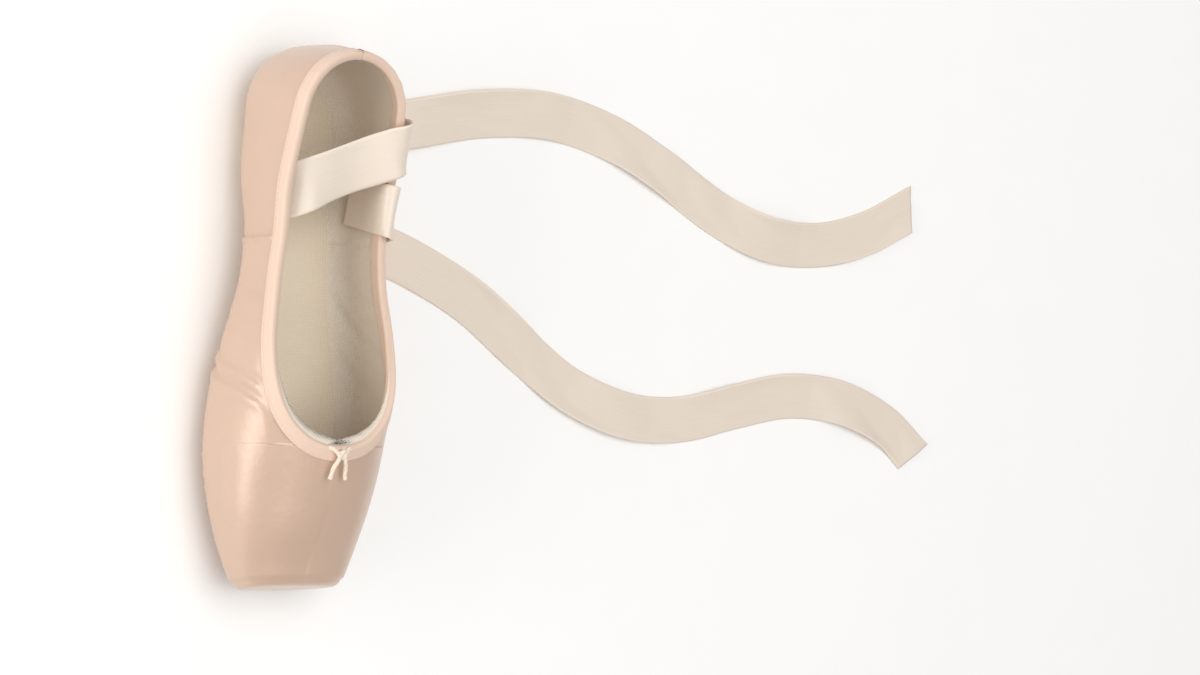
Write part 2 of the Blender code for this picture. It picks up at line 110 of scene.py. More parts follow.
# Centrelines of the ribbons, in millimetres from the origin, as the solids have
# them; the last three numbers are the way that the under face looks
NEAR_RIBBON = np.array((
    (-47.5, -23.7, 19.0, 0.0, 1.0, 0.0), (-49.5, -24.1, 28.0, 0.0, 1.0, 0.0),
    (-52.0, -22.6, 37.0, 0.0, 0.9, -0.4), (-55.5, -17.0, 44.0, -0.1, 0.4, -0.9),
    (-60.0, -7.0, 46.0, -0.2, 0.0, -1.0), (-64.5, 4.0, 47.0, -0.2, -0.1, -1.0),
    (-68.5, 14.0, 49.8, -0.22, 0.2, -1.0), (-72.0, 22.5, 53.4, -0.22, 0.2, -1.0),
    (-74.5, 28.2, 53.8, -0.22, -0.5, -0.8), (-76.0, 31.0, 50.0, 0.0, -1.0, -0.3),
    (-77.2, 32.2, 40.0, 0.0, -1.0, 0.0), (-78.6, 33.2, 22.0, 0.0, -1.0, 0.0),
    (-80.4, 36.4, 8.0, 0.0, -0.8, -0.4), (-84.0, 48.0, 1.2, 0.0, 0.0, -1.0),
    (-90.0, 75.0, 0.8, 0.0, 0.0, -1.0), (-97.0, 112.0, 0.8, 0.0, 0.0, -1.0),
    (-99.0, 150.0, 0.8, 0.0, 0.0, -1.0), (-92.0, 188.0, 0.8, 0.0, 0.0, -1.0),
    (-78.0, 223.0, 0.8, 0.0, 0.0, -1.0), (-62.0, 256.0, 0.8, 0.0, 0.0, -1.0),
    (-51.0, 290.0, 0.8, 0.0, 0.0, -1.0), (-50.0, 326.0, 0.8, 0.0, 0.0, -1.0),
    (-58.0, 360.0, 0.8, 0.0, 0.0, -1.0), (-72.0, 391.0, 0.8, 0.0, 0.0, -1.0),
))
FAR_RIBBON = np.array((
    (-52.6, 23.1, 20.0, 0.0, 1.0, 0.0), (-51.0, 23.8, 28.0, 0.0, 1.0, 0.0),
    (-49.5, 23.0, 38.0, 0.0, 1.0, 0.0), (-48.6, 22.5, 43.4, 0.0, 1.0, 0.0),
    (-48.0, 23.4, 47.0, -0.1, 0.7, -0.7), (-47.4, 25.8, 48.7, -0.14, 0.0, -1.0),
    (-46.8, 28.4, 47.2, -0.1, -0.7, -0.7), (-46.2, 29.5, 43.0, 0.0, -1.0, 0.0),
    (-44.4, 30.4, 30.0, 0.0, -1.0, 0.0), (-42.0, 31.8, 15.0, 0.0, -1.0, -0.1),
    (-39.4, 37.0, 5.0, 0.0, -0.6, -0.7), (-35.0, 49.0, 1.0, 0.0, 0.0, -1.0),
    (-27.0, 75.0, 0.8, 0.0, 0.0, -1.0), (-13.0, 107.0, 0.8, 0.0, 0.0, -1.0),
    (7.0, 138.0, 0.8, 0.0, 0.0, -1.0), (26.0, 170.0, 0.8, 0.0, 0.0, -1.0),
    (37.0, 205.0, 0.8, 0.0, 0.0, -1.0), (38.0, 241.0, 0.8, 0.0, 0.0, -1.0),
    (31.0, 276.0, 0.8, 0.0, 0.0, -1.0), (25.0, 311.0, 0.8, 0.0, 0.0, -1.0),
    (27.0, 346.0, 0.8, 0.0, 0.0, -1.0), (38.0, 380.0, 0.8, 0.0, 0.0, -1.0),
    (53.0, 402.0, 0.8, 0.0, 0.0, -1.0),
))

# Creases of the satin. side is -1 for the near side and 1 for the far one; trough
# and ridge are in mm, spread is how wide they are, and the ridge lies beside the
# trough on the heel's side where it is positive. fade is how much of each end
# runs out. The points are (mm along the last, turn from the widest line in degrees)
CREASES = (
    # side, trough, ridge, spread, fade, points
    (-1, 1.10, 0.75, 2.2, 0.30, ((133, -62), (137, -28), (142, 0), (147, 22), (152, 38), (159, 46))),
    (-1, 0.80, 0.55, 1.9, 0.30, ((126, -50), (131, -18), (137, 8), (143, 30), (149, 44))),
    (-1, 0.45, -0.30, 2.4, 0.40, ((112, -60), (116, -25), (122, 5), (130, 30))),
    (-1, 0.40, 0.25, 3.0, 0.45, ((96, -40), (101, -12), (108, 16), (114, 36))),
    (-1, 0.35, 0.20, 4.5, 0.45, ((158, 12), (176, 16), (196, 14), (214, 6))),
    (-1, 0.30, 0.20, 2.5, 0.45, ((60, -42), (66, -16), (73, 10), (77, 34))),
    (1, 1.10, 0.80, 2.0, 0.30, ((98, -66), (106, -34), (117, -8), (129, 16), (142, 36), (150, 44))),
    (1, 0.65, 0.45, 1.8, 0.35, ((90, -60), (95, -30), (103, 0), (113, 26))),
    (1, 0.45, 0.30, 3.4, 0.40, ((120, -50), (130, -22), (142, 4), (154, 22))),
    (1, 0.30, -0.20, 4.0, 0.45, ((150, -10), (168, -6), (190, -8), (210, -14))),
)


class ShoeSizes(bpy.types.PropertyGroup):
    """Sizes of the pieces that are sewn on the upper."""

    ribbon_width: bpy.props.FloatProperty(
        name="Ribbon width", description="Width of the satin ribbons",
        default=0.022, min=0.012, max=0.03, unit="LENGTH",
    )
    ribbon_thickness: bpy.props.FloatProperty(
        name="Ribbon thickness", description="Thickness of the satin ribbons",
        default=0.0004, min=0.0002, max=0.0007, unit="LENGTH",
    )
    binding_width: bpy.props.FloatProperty(
        name="Binding width", description="Width of the binding outside the collar",
        default=0.0065, min=0.004, max=0.008, unit="LENGTH",
    )
    stitch_length: bpy.props.FloatProperty(
        name="Stitch length", description="Length of one stitch of the binding's seam",
        default=0.0018, min=0.001, max=0.003, unit="LENGTH",
    )
    string_thickness: bpy.props.FloatProperty(
        name="Drawstring thickness", description="Diameter of the cotton drawstring",
        default=0.0018, min=0.001, max=0.0025, unit="LENGTH",
    )
    crease_depth: bpy.props.FloatProperty(
        name="Crease depth", description="How deep the creases are, 1 as in the shoe",
        default=1.0, min=0.0, max=1.5, subtype="FACTOR",
    )


def linear(code, alpha=True):
    """Scene colour of an sRGB hex value."""
    values = [int(code[k:k + 2], 16) / 255.0 for k in (1, 3, 5)]
    made = [v / 12.92 if v <= 0.04045 else ((v + 0.055) / 1.055) ** 2.4 for v in values]
    return (*made, 1.0) if alpha else tuple(made)


def colour_property(name, description, code):
    """A colour that a user can change, from its hex value."""
    return bpy.props.FloatVectorProperty(
        name=name, description=description, subtype="COLOR",
        size=3, min=0.0, max=1.0, default=linear(code, alpha=False),
    )


class ShoeColours(bpy.types.PropertyGroup):
    """Colours of the finishes."""

    satin: colour_property("Satin", "Peach satin of the upper", "#ccad97")
    binding: colour_property("Binding", "Matt satin of the binding", "#e9cdb9")
    suede: colour_property("Suede", "Buff suede of the outsole", "#d9c795")
    drill: colour_property("Lining", "Unbleached cotton drill inside", "#efe3d3")
    insole: colour_property("Insole", "Brushed cotton on the insole", "#e6d8c2")
    ribbon: colour_property("Ribbon", "Cream satin of the ribbons", "#e6d8c9")
    cotton: colour_property("Drawstring", "Cotton of the drawstring", "#f3e3cf")


def through(x, y, at):
    """Values of a table on a smooth curve that never overshoots its rows."""
    step = np.diff(x)
    rise = np.diff(y) / step
    slope = np.zeros(len(x))
    for k in range(1, len(x) - 1):
        if rise[k - 1] * rise[k] > 0.0:
            before = 2.0 * step[k] + step[k - 1]
            after = step[k] + 2.0 * step[k - 1]
            slope[k] = (before + after) / (before / rise[k - 1] + after / rise[k])
    slope[0] = rise[0]
    slope[-1] = rise[-1]
    at = np.clip(np.asarray(at, dtype=float), x[0], x[-1])
    k = np.clip(np.searchsorted(x, at, side="right") - 1, 0, len(step) - 1)
    t = (at - x[k]) / step[k]
    return (
        y[k] * (1.0 + 2.0 * t) * (1.0 - t) ** 2
        + y[k + 1] * t * t * (3.0 - 2.0 * t)
        + slope[k] * step[k] * t * (1.0 - t) ** 2
        - slope[k + 1] * step[k] * t * t * (1.0 - t)
    )


def ease(value, start, end):
    """0 before start, 1 after end, and a soft rise between them."""
    t = np.clip((np.asarray(value, dtype=float) - start) / (end - start), 0.0, 1.0)
    return t * t * (3.0 - 2.0 * t)


def bell(distance, spread):
    """1 at no distance, falling softly to nothing."""
    return np.exp(-(distance / spread) ** 2)


def sections(along):
    """Half width, floor, widest height, crown and squareness of the last."""
    at = np.asarray(along, dtype=float) / LENGTH
    made = {
        name: through(LAST[:, 0], LAST[:, k], at)
        for k, name in enumerate(LAST_COLUMNS)
    }
    made["half"] = made["width"] * BALL_WIDTH / 2.0
    made["wide"] = made["wide"] * THROAT_HEIGHT
    made["crown"] = made["crown"] * THROAT_HEIGHT
    return made


def wall(along):
    """Thickness of the upper: quarters of satin and canvas, then the pasted box."""
    return QUARTER_WALL + (BOX_WALL - QUARTER_WALL) * ease(along, 120.0, 175.0)


def collar_height(along):
    """Height of the collar's edge."""
    return HEEL_HEIGHT * through(COLLAR[:, 0], COLLAR[:, 1], np.asarray(along) / LENGTH)


def lean(along, height):
    """How far a point goes back because the platform leans."""
    low_edge = LAST[-1, 2]
    return math.tan(PLATFORM_LEAN) * (height - low_edge) * ease(along, 195.0, LENGTH)


def level(along, across, height):
    """Under 1 inside the last, over 1 outside it."""
    form = sections(np.maximum(along, HEEL_AXIS))
    back = np.maximum(HEEL_AXIS - along, 0.0) * form["half"] / HEEL_AXIS
    reach = np.hypot(back, across)
    above = height >= form["wide"]
    power = np.where(above, form["high"], form["low"])
    rise = np.where(above, form["crown"] - form["wide"], form["wide"] - form["floor"])
    return (reach / form["half"]) ** power + (np.abs(height - form["wide"]) / rise) ** power


def outward_normals(points):
    """Outward normals of the last at points given as (along, across, height)."""
    step = 0.05
    slope = np.zeros_like(points)
    for axis in range(3):
        shift = np.zeros(3)
        shift[axis] = step
        ahead = level(*(points + shift).T)
        slope[:, axis] = ahead - level(*(points - shift).T)
    return slope / np.maximum(np.linalg.norm(slope, axis=1, keepdims=True), 1e-9)


def outline_half(table, ends, along, inset=0.0):
    """Half width of a sole's outline at a place, 0 outside its ends."""
    along = np.asarray(along, dtype=float)
    half = through(table[:, 0], table[:, 1], along / LENGTH) * BALL_WIDTH / 2.0 - inset
    heel = table[0, 0] * LENGTH
    toe = table[-1, 0] * LENGTH
    back = np.clip((heel - along) / (heel - ends[0] - inset), 0.0, 1.0)
    front = np.clip((along - toe) / (ends[1] - inset - toe), 0.0, 1.0)
    return half * np.sqrt(np.maximum(1.0 - np.maximum(back, front) ** 2, 0.0))


CURVE_STEPS = 240


def ring_curve(axis, angle, out, cap, turn):
    """Half ring of the form from its bottom to its top, as rows (along, across, height).

    angle is the fan's angle round the heel, out moves the ring outwards, cap moves
    the platform, and turn is how far the ring has turned over the platform's edge.
    """
    form = sections(axis)
    inset = PLATFORM_EDGE * (1.0 - math.cos(turn))
    grow = out - inset
    theta = np.linspace(-math.pi / 2.0, math.pi / 2.0, CURVE_STEPS + 1)
    upper = theta > 0.0
    power = 2.0 / np.where(upper, form["high"], form["low"])
    rise = np.where(upper, form["crown"] - form["wide"], form["wide"] - form["floor"]) + grow
    outward = (form["half"] + grow) * np.maximum(np.cos(theta), 0.0) ** power
    outward[0] = 0.0
    outward[-1] = 0.0
    height = form["wide"] + np.sign(theta) * rise * np.abs(np.sin(theta)) ** power
    if axis <= HEEL_AXIS:
        reach = (HEEL_AXIS + grow) / (form["half"] + grow)
        stretch = reach + (1.0 - reach) * math.sin(angle) ** 2
        along = axis - outward * stretch * math.cos(angle)
        outward = outward * stretch * math.sin(angle)
    else:
        place = axis - PLATFORM_EDGE * (1.0 - math.sin(turn)) if turn > 0.0 else axis
        along = np.full(CURVE_STEPS + 1, place + cap * float(ease(axis, 185.0, LENGTH)))
    return np.column_stack((along, outward, height)), theta


def stations(fine):
    """Places of the rings from the back seam to the platform, as (axis, angle, turn)."""
    made = [(HEEL_AXIS, math.radians(a), 0.0) for a in np.arange(0.0, 4.0, 0.5 * fine)]
    made += [(HEEL_AXIS, math.radians(a), 0.0) for a in np.linspace(4.0, 90.0, round(44 / fine))]
    end = LENGTH - PLATFORM_EDGE
    along = HEEL_AXIS
    while True:
        step = 1.35 - 0.95 * math.exp(-((along - SIDE_SEAM - 1.0) / 6.0) ** 2)
        step -= 0.85 * math.exp(-((along - THROAT) / 3.0) ** 2)
        along += step * fine
        if along > end - 0.4:
            break
        made.append((along, math.pi / 2.0, 0.0))
    made += [(LENGTH, math.pi / 2.0, math.radians(a)) for a in np.linspace(0.0, 90.0, 8)]
    made[-8] = (end, math.pi / 2.0, 0.0)
    return made


def place_at(curve, length, at):
    """Point of a curve at a distance along it."""
    return np.column_stack([np.interp(at, length, curve[:, k]) for k in range(3)])


def cut_ring(station, out, cap, rows, collar_drop, opening_inset):
    """Evenly spaced rows of one ring between the sole's opening and the collar."""
    axis, angle, turn = station
    curve, theta = ring_curve(axis, angle, out, cap, turn)
    length = np.concatenate(([0.0], np.cumsum(np.linalg.norm(np.diff(curve, axis=0), axis=1))))
    start = 0.0
    if opening_inset is not None:
        half = outline_half(OUTSOLE, OUTSOLE_ENDS, curve[:, 0], opening_inset)
        inside = (np.abs(curve[:, 1]) < half) & (theta < 0.0)
        if inside.any() and curve[0, 0] < OUTSOLE_ENDS[1] - opening_inset:
            start = length[np.flatnonzero(inside)[-1]]
    end = length[-1]
    if axis < THROAT:
        edge = collar_height(curve[:, 0]) - collar_drop
        over = (curve[:, 2] > edge) & (theta > 0.0)
        if over.any():
            k = int(np.flatnonzero(over)[0])
            gap = curve[k - 1:k + 1, 2] - edge[k - 1:k + 1]
            share = -gap[0] / (gap[1] - gap[0])
            end = length[k - 1] + share * (length[k] - length[k - 1])
    at = np.linspace(start, end, rows)
    widest = np.interp(0.0, theta, length)
    return place_at(curve, length, at), at - widest


CAP_RINGS = 12


def form_sheet(outs, rows, fine, collar_drop, opening_inset):
    """Places and pattern coordinates of one side, heel to platform centre.

    outs gives (out, cap) for a station. Rows of the result are stations.
    """
    places = []
    pattern = []
    travelled = 0.0
    before = None
    for station in stations(fine):
        out, cap = outs(station[0])
        ring, girth = cut_ring(station, out, cap, rows, collar_drop, opening_inset)
        middle = ring[rows // 2]
        if before is not None:
            travelled += float(np.linalg.norm(middle - before))
        before = middle
        places.append(ring)
        pattern.append(np.column_stack((np.full(rows, travelled), girth, np.zeros(rows))))
    rim = places[-1]
    centre = (rim[0] + rim[-1]) / 2.0
    centre[1] = 0.0
    for k in range(1, CAP_RINGS + 1):
        share = k / CAP_RINGS
        places.append(rim + (centre - rim) * share)
        pattern.append(pattern[len(places) - 2] * (1.0 - 0.0) + np.array((0.0, 0.0, 0.0)))
    return np.array(places), np.array(pattern)


def side_of(points):
    """1 on the far side, -1 on the near one."""
    return np.where(points[:, 1] >= 0.0, 1.0, -1.0)


def on_last(side, along, turn):
    """Point of the last at a place and a turn from the widest line in degrees."""
    curve, theta = ring_curve(max(float(along), HEEL_AXIS + 0.01), math.pi / 2.0, 0.0, 0.0, 0.0)
    point = [np.interp(math.radians(turn), theta, curve[:, k]) for k in range(3)]
    return np.array((point[0], side * point[1], point[2]))


def finer(points, count=14):
    """More points on a smooth curve through a few."""
    points = np.array(points, dtype=float)
    at = np.linspace(0.0, len(points) - 1.0, count)
    index = np.arange(len(points), dtype=float)
    return np.column_stack([through(index, points[:, k], at) for k in range(points.shape[1])])


def crease_relief(points, normals, side, trough, ridge, spread, fade, line):
    """Height of one crease at every point: a soft trough with a ridge beside it."""
    made = np.zeros(len(points))
    low = line.min(axis=0) - 4.0 * spread - 3.0
    high = line.max(axis=0) + 4.0 * spread + 3.0
    near = np.flatnonzero(np.all((points > low) & (points < high), axis=1))
    if not len(near):
        return made
    here = points[near]
    best = np.full(len(near), 1e9)
    signed = np.zeros(len(near))
    share = np.zeros(len(near))
    steps = np.linalg.norm(np.diff(line, axis=0), axis=1)
    start = np.concatenate(([0.0], np.cumsum(steps))) / steps.sum()
    for k in range(len(steps)):
        way = (line[k + 1] - line[k]) / steps[k]
        offset = here - line[k]
        along = np.clip(offset @ way, 0.0, steps[k])
        apart = offset - along[:, None] * way
        distance = np.linalg.norm(apart, axis=1)
        sign = np.sign(np.einsum("ij,ij->i", np.cross(way, apart), normals[near]))
        closer = distance < best
        best[closer] = distance[closer]
        signed[closer] = (distance * np.where(sign == 0.0, 1.0, sign) * side)[closer]
        share[closer] = (start[k] + along / steps.sum())[closer]
    strength = ease(share, 0.0, fade) * (1.0 - ease(share, 1.0 - fade, 1.0))
    shift = math.copysign(1.25 * spread, ridge)
    shape = -trough * bell(best, spread * 0.8)
    shape += abs(ridge) * bell(signed - shift, spread * 0.85)
    made[near] = shape * strength
    return made


def pleat_lines():
    """Pleats where the satin is gathered round the front of the outsole."""
    generator = np.random.default_rng(11)
    toe = OUTSOLE[-1, 0] * LENGTH
    made = []
    for side in (-1, 1):
        for k in range(9):
            turn = math.radians(8.0 + 10.2 * k + generator.uniform(-2.0, 2.0))
            reach = generator.uniform(13.0, 24.0)
            start = np.array((
                toe + (OUTSOLE_ENDS[1] - toe) * math.cos(turn),
                OUTSOLE[-1, 1] * BALL_WIDTH / 2.0 * math.sin(turn),
            ))
            way = np.array((math.cos(turn), math.sin(turn)))
            form = sections(start[0])
            share = min(start[1] / float(form["half"]), 0.98)
            bottom = -math.degrees(math.acos(share ** (float(form["low"]) / 2.0)))
            rows = []
            for part in (0.0, 0.35, 0.7, 1.0):
                rows.append((
                    min(start[0] + way[0] * reach * part, 230.5),
                    bottom + way[1] * reach * part * 3.3,
                ))
            size = generator.uniform(0.32, 0.6)
            made.append((side, size * 0.9, size, 1.25, 0.42, rows))
    return made


def relief(points, normals, depth):
    """How far the satin stands off the last at every point, in millimetres."""
    along, across, height = points.T
    side = side_of(points)
    girth = height + 0.35 * np.abs(across)
    made = np.zeros(len(points))
    for row in (*CREASES, *pleat_lines()):
        which, trough, ridge, spread, fade, rows = row
        line = np.array([on_last(which, *place) for place in finer(rows)])
        line = np.where(np.isnan(line), 0.0, line)
        made += depth * crease_relief(points, normals, which, trough, ridge, spread, fade, line)
    # The vamp laps over the quarter, and its turned edge is gathered by the stitches
    seam = along - SIDE_SEAM - 0.7 * np.sin(height / 9.0)
    ripple = np.sin(2.0 * math.pi * height / 2.9 + 1.2 * np.sin(height / 3.1) + side)
    made += 0.40 * ease(seam, -0.35, 0.35) * (1.0 - 0.2 * ease(seam, 12.0, 30.0))
    made += 0.42 * bell(seam - 1.3, 1.3) - 0.45 * bell(seam + 0.5, 0.9)
    made += 0.20 * ripple * bell(seam - 1.6, 2.1) + 0.13 * ripple * bell(seam + 2.6, 2.8)
    # The quarters meet at the back of the heel
    heel = ease(along, 24.0, 6.0)
    gather = np.sin(2.0 * math.pi * height / 3.6 + 1.5 * np.sin(height / 5.0))
    made += heel * (0.45 * bell(across, 1.25) - 0.40 * bell(across, 0.35))
    made += heel * 0.12 * gather * bell(np.abs(across) - 2.4, 1.9)
    # Long soft waves of a satin that is pasted down by hand
    made += 0.16 * np.sin(along / 9.5 + 2.1 * np.sin(girth / 14.0) + 0.8 * side)
    made += 0.10 * np.sin(girth / 5.2 + 1.7 * np.sin(along / 21.0) + 1.9 * side)
    made += 0.05 * np.sin(along / 3.9 + girth / 4.4)
    # Nothing stands up under the outsole or under the binding
    under = outline_half(OUTSOLE, OUTSOLE_ENDS, along, -0.8)
    covered = (np.abs(across) < under) & (height < 14.0)
    made = np.where(covered, np.minimum(made, 0.12), made)
    free = ease(collar_height(along) - height, 4.5, 9.0)
    made = np.where(along < THROAT + 8.0, made * np.where(along > THROAT, 1.0, free), made)
    return made


def in_frame(points):
    """Places of the last in the frame of the solids, in metres."""
    made = np.array(points, dtype=float)
    made[:, 0] = made[:, 0] - lean(made[:, 0], made[:, 2]) - LENGTH / 2.0
    return made * MM


def edge_normals(points):
    """Outward normals that also turn over the platform's edge."""
    normals = outward_normals(points)
    turned = ease(points[:, 0], LENGTH - PLATFORM_EDGE, LENGTH)[:, None]
    normals = normals * (1.0 - turned) + np.array((1.0, 0.0, 0.0)) * turned
    return normals / np.maximum(np.linalg.norm(normals, axis=1, keepdims=True), 1e-9)


def select_only(obj):
    """The object alone selected and active."""
    if bpy.context.object and bpy.context.object.mode != "OBJECT":
        bpy.ops.object.mode_set(mode="OBJECT")
    bpy.ops.object.select_all(action="DESELECT")
    obj.select_set(True)
    bpy.context.view_layer.objects.active = obj


def placed_grid(name, places, pattern):
    """A grid primitive laid on the given places, (rows, columns, 3) in metres."""
    rows, columns = places.shape[:2]
    bpy.ops.object.select_all(action="DESELECT")
    bpy.ops.mesh.primitive_grid_add(
        x_subdivisions=columns - 1, y_subdivisions=rows - 1, size=2.0, location=(0.0, 0.0, 0.0),
    )
    obj = bpy.context.object
    obj.name = obj.data.name = name
    count = len(obj.data.vertices)
    if count != rows * columns:
        raise RuntimeError(f"{name}: the grid has {count} points, not {rows} by {columns}")
    flat = np.empty(count * 3)
    obj.data.vertices.foreach_get("co", flat)
    flat = flat.reshape(-1, 3)
    column = np.rint((flat[:, 0] + 1.0) / 2.0 * (columns - 1)).astype(int)
    row = np.rint((flat[:, 1] + 1.0) / 2.0 * (rows - 1)).astype(int)
    obj.data.vertices.foreach_set("co", places[row, column].ravel())
    layer = obj.data.attributes.new("pattern", "FLOAT_VECTOR", "POINT")
    layer.data.foreach_set("vector", pattern[row, column].ravel())
    obj.data.update()
    return obj


def close_seams(obj, drop_centre=False):
    """Merge the edges that meet, clear the faces left inside, and turn all outwards."""
    select_only(obj)
    bpy.ops.object.mode_set(mode="EDIT")
    bpy.ops.mesh.select_mode(type="FACE")
    bpy.ops.mesh.select_all(action="SELECT")
    bpy.ops.mesh.remove_doubles(threshold=0.000004)
    if drop_centre:
        bpy.ops.mesh.select_all(action="DESELECT")
        bm = bmesh.from_edit_mesh(obj.data)
        for face in bm.faces:
            face.select_set(all(abs(vert.co.y) < 0.0000005 for vert in face.verts))
        bmesh.update_edit_mesh(obj.data)
        bpy.ops.mesh.delete(type="FACE")
    bpy.ops.mesh.select_all(action="SELECT")
    bpy.ops.mesh.dissolve_degenerate(threshold=0.0000005)
    bpy.ops.mesh.normals_make_consistent(inside=False)
    bpy.ops.object.mode_set(mode="OBJECT")
    bpy.ops.object.shade_smooth()
    return obj


def finish_piece(obj, material, slot_name, *nodes):
    """Material, body and the solids that the piece stands for. slot_name is not used."""
    obj.data.materials.clear()
    obj.data.materials.append(material)
    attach(obj, BODY)
    if nodes:
        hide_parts(*nodes)
    return obj


def upper_shell(name, outer, inner, outer_rows, inner_rows, fine, depth):
    """A closed shell on the last between two surfaces, open at collar and sole."""
    drop = 0.7 + GAP
    sheets = []
    for outs, rows in ((outer, outer_rows), (inner, inner_rows)):
        sheets.append(form_sheet(outs, rows, fine, drop, LASTING_MARGIN))
    places = np.concatenate((sheets[0][0], sheets[1][0][:, ::-1], sheets[0][0][:, :1]), axis=1)
    pattern = np.concatenate((sheets[0][1], sheets[1][1][:, ::-1], sheets[0][1][:, :1]), axis=1)
    mirrored = places[::-1].copy()
    mirrored[:, :, 1] *= -1.0
    both = np.concatenate((mirrored, places[1:]), axis=0)
    weave = np.concatenate((pattern[::-1], pattern[1:]), axis=0)
    flat = both.reshape(-1, 3)
    normals = edge_normals(flat)
    centre = np.abs(flat[:, 1]) < 1e-6
    lifted = flat + normals * relief(flat, normals, depth)[:, None]
    lifted[centre, 1] = 0.0
    made = in_frame(lifted).reshape(both.shape)
    return close_seams(placed_grid(name, made, weave), drop_centre=True)


def add_node(tree, kind, inputs=None, **settings):
    """A node with its settings, its inputs given as values or other nodes' outputs."""
    node = tree.nodes.new(kind)
    for name, value in settings.items():
        setattr(node, name, value)
    for name, value in (inputs or {}).items():
        if isinstance(value, bpy.types.NodeSocket):
            tree.links.new(value, node.inputs[name])
        else:
            node.inputs[name].default_value = value
    return node


def new_material(name, **constants):
    """A material with only its Principled shader, and its constants set on the sockets."""
    made = bpy.data.materials.new(name)
    made.use_nodes = True
    shader = made.node_tree.nodes["Principled BSDF"]
    for socket, value in constants.items():
        shader.inputs[socket.replace("_", " ")].default_value = value
    return made, made.node_tree, shader


def colour_of(name):
    """One of the user's colours with its alpha."""
    return (*getattr(bpy.context.scene.shoe_colours, name), 1.0)


def shaded(colour, factor):
    """A colour made darker or lighter."""
    return (*[min(channel * factor, 1.0) for channel in colour[:3]], 1.0)


def satin_material():
    """Duchess satin, acetate and cotton: long floats, so a broad soft gloss."""
    base = colour_of("satin")
    made, tree, shader = new_material(
        "duchess_satin", IOR=1.5, Sheen_Weight=0.10, Sheen_Roughness=0.4, Metallic=0.12,
        Coat_Weight=0.5, Coat_Roughness=0.27, Coat_IOR=1.5,
    )
    shader.inputs["Specular IOR Level"].default_value = 1.0
    shader.inputs["Sheen Tint"].default_value = linear("#fff2e4")
    place = add_node(tree, "ShaderNodeTexCoord").outputs["Object"]
    weave = add_node(tree, "ShaderNodeAttribute", attribute_name="pattern").outputs["Vector"]
    # Dye and handling vary over 30 mm
    cloud = add_node(tree, "ShaderNodeTexNoise", {
        "Vector": place, "Scale": 34.0, "Detail": 2.0, "Roughness": 0.5,
    }).outputs["Fac"]
    tint = add_node(tree, "ShaderNodeMix", {
        "Factor": cloud, "A": shaded(base, 0.955), "B": shaded(base, 1.03),
    }, data_type="RGBA").outputs["Result"]
    tree.links.new(tint, shader.inputs["Base Color"])
    # Slubs in the warp, 0.45 mm apart and drawn coarser than the real 0.1 mm threads
    stretched = add_node(tree, "ShaderNodeMapping", {
        "Vector": weave, "Scale": (0.10, 1.9, 1.0),
    }).outputs["Vector"]
    slub = add_node(tree, "ShaderNodeTexNoise", {
        "Vector": stretched, "Scale": 1.0, "Detail": 3.0, "Roughness": 0.6,
    }).outputs["Fac"]
    rough = add_node(tree, "ShaderNodeMapRange", {
        "Value": slub, "To Min": 0.30, "To Max": 0.42,
    }).outputs["Result"]
    tree.links.new(rough, shader.inputs["Roughness"])
    # The cloth is pasted on canvas, whose uneven ground shows at 3 mm
    ground = add_node(tree, "ShaderNodeTexNoise", {
        "Vector": place, "Scale": 260.0, "Detail": 3.0, "Roughness": 0.55,
    }).outputs["Fac"]
    under = add_node(tree, "ShaderNodeBump", {
        "Height": ground, "Strength": 0.22, "Distance": 0.0009,
    }).outputs["Normal"]
    over = add_node(tree, "ShaderNodeBump", {
        "Height": slub, "Strength": 0.25, "Distance": 0.0002, "Normal": under,
    }).outputs["Normal"]
    tree.links.new(over, shader.inputs["Normal"])
    return made


def woven_material(name, base, pitch, angle, depth, roughness, contrast, coordinates="pattern"):
    """Plain or twill cotton: two sets of threads, matt, with a faint fuzz."""
    made, tree, shader = new_material(
        name, IOR=1.5, Sheen_Weight=0.18, Sheen_Roughness=0.6, Roughness=roughness,
    )
    shader.inputs["Specular IOR Level"].default_value = 0.35
    if coordinates == "Object":
        place = add_node(tree, "ShaderNodeTexCoord").outputs["Object"]
    else:
        place = add_node(tree, "ShaderNodeAttribute", attribute_name=coordinates).outputs["Vector"]
    turned = add_node(tree, "ShaderNodeMapping", {
        "Vector": place, "Rotation": (0.0, 0.0, math.radians(angle)),
    }).outputs["Vector"]
    threads = []
    for direction in ("X", "Y"):
        threads.append(add_node(tree, "ShaderNodeTexWave", {
            "Vector": turned, "Scale": 0.314 / pitch, "Distortion": 0.6,
            "Detail": 1.0, "Detail Scale": 2.0,
        }, wave_type="BANDS", bands_direction=direction, wave_profile="SIN").outputs["Fac"])
    crossed = add_node(tree, "ShaderNodeMath", {
        0: threads[0], 1: threads[1],
    }, operation="MULTIPLY").outputs["Value"]
    cloud = add_node(tree, "ShaderNodeTexNoise", {
        "Vector": place, "Scale": 0.06 if coordinates != "Object" else 60.0, "Detail": 3.0,
    }).outputs["Fac"]
    mixed = add_node(tree, "ShaderNodeMix", {
        "Factor": crossed, "A": shaded(base, 1.0 - contrast), "B": base,
    }, data_type="RGBA").outputs["Result"]
    tint = add_node(tree, "ShaderNodeMix", {
        "Factor": cloud, "A": shaded(base, 0.94), "B": mixed,
    }, data_type="RGBA").outputs["Result"]
    tree.links.new(tint, shader.inputs["Base Color"])
    bump = add_node(tree, "ShaderNodeBump", {
        "Height": crossed, "Strength": 0.6, "Distance": depth * MM,
    }).outputs["Normal"]
    tree.links.new(bump, shader.inputs["Normal"])
    return made


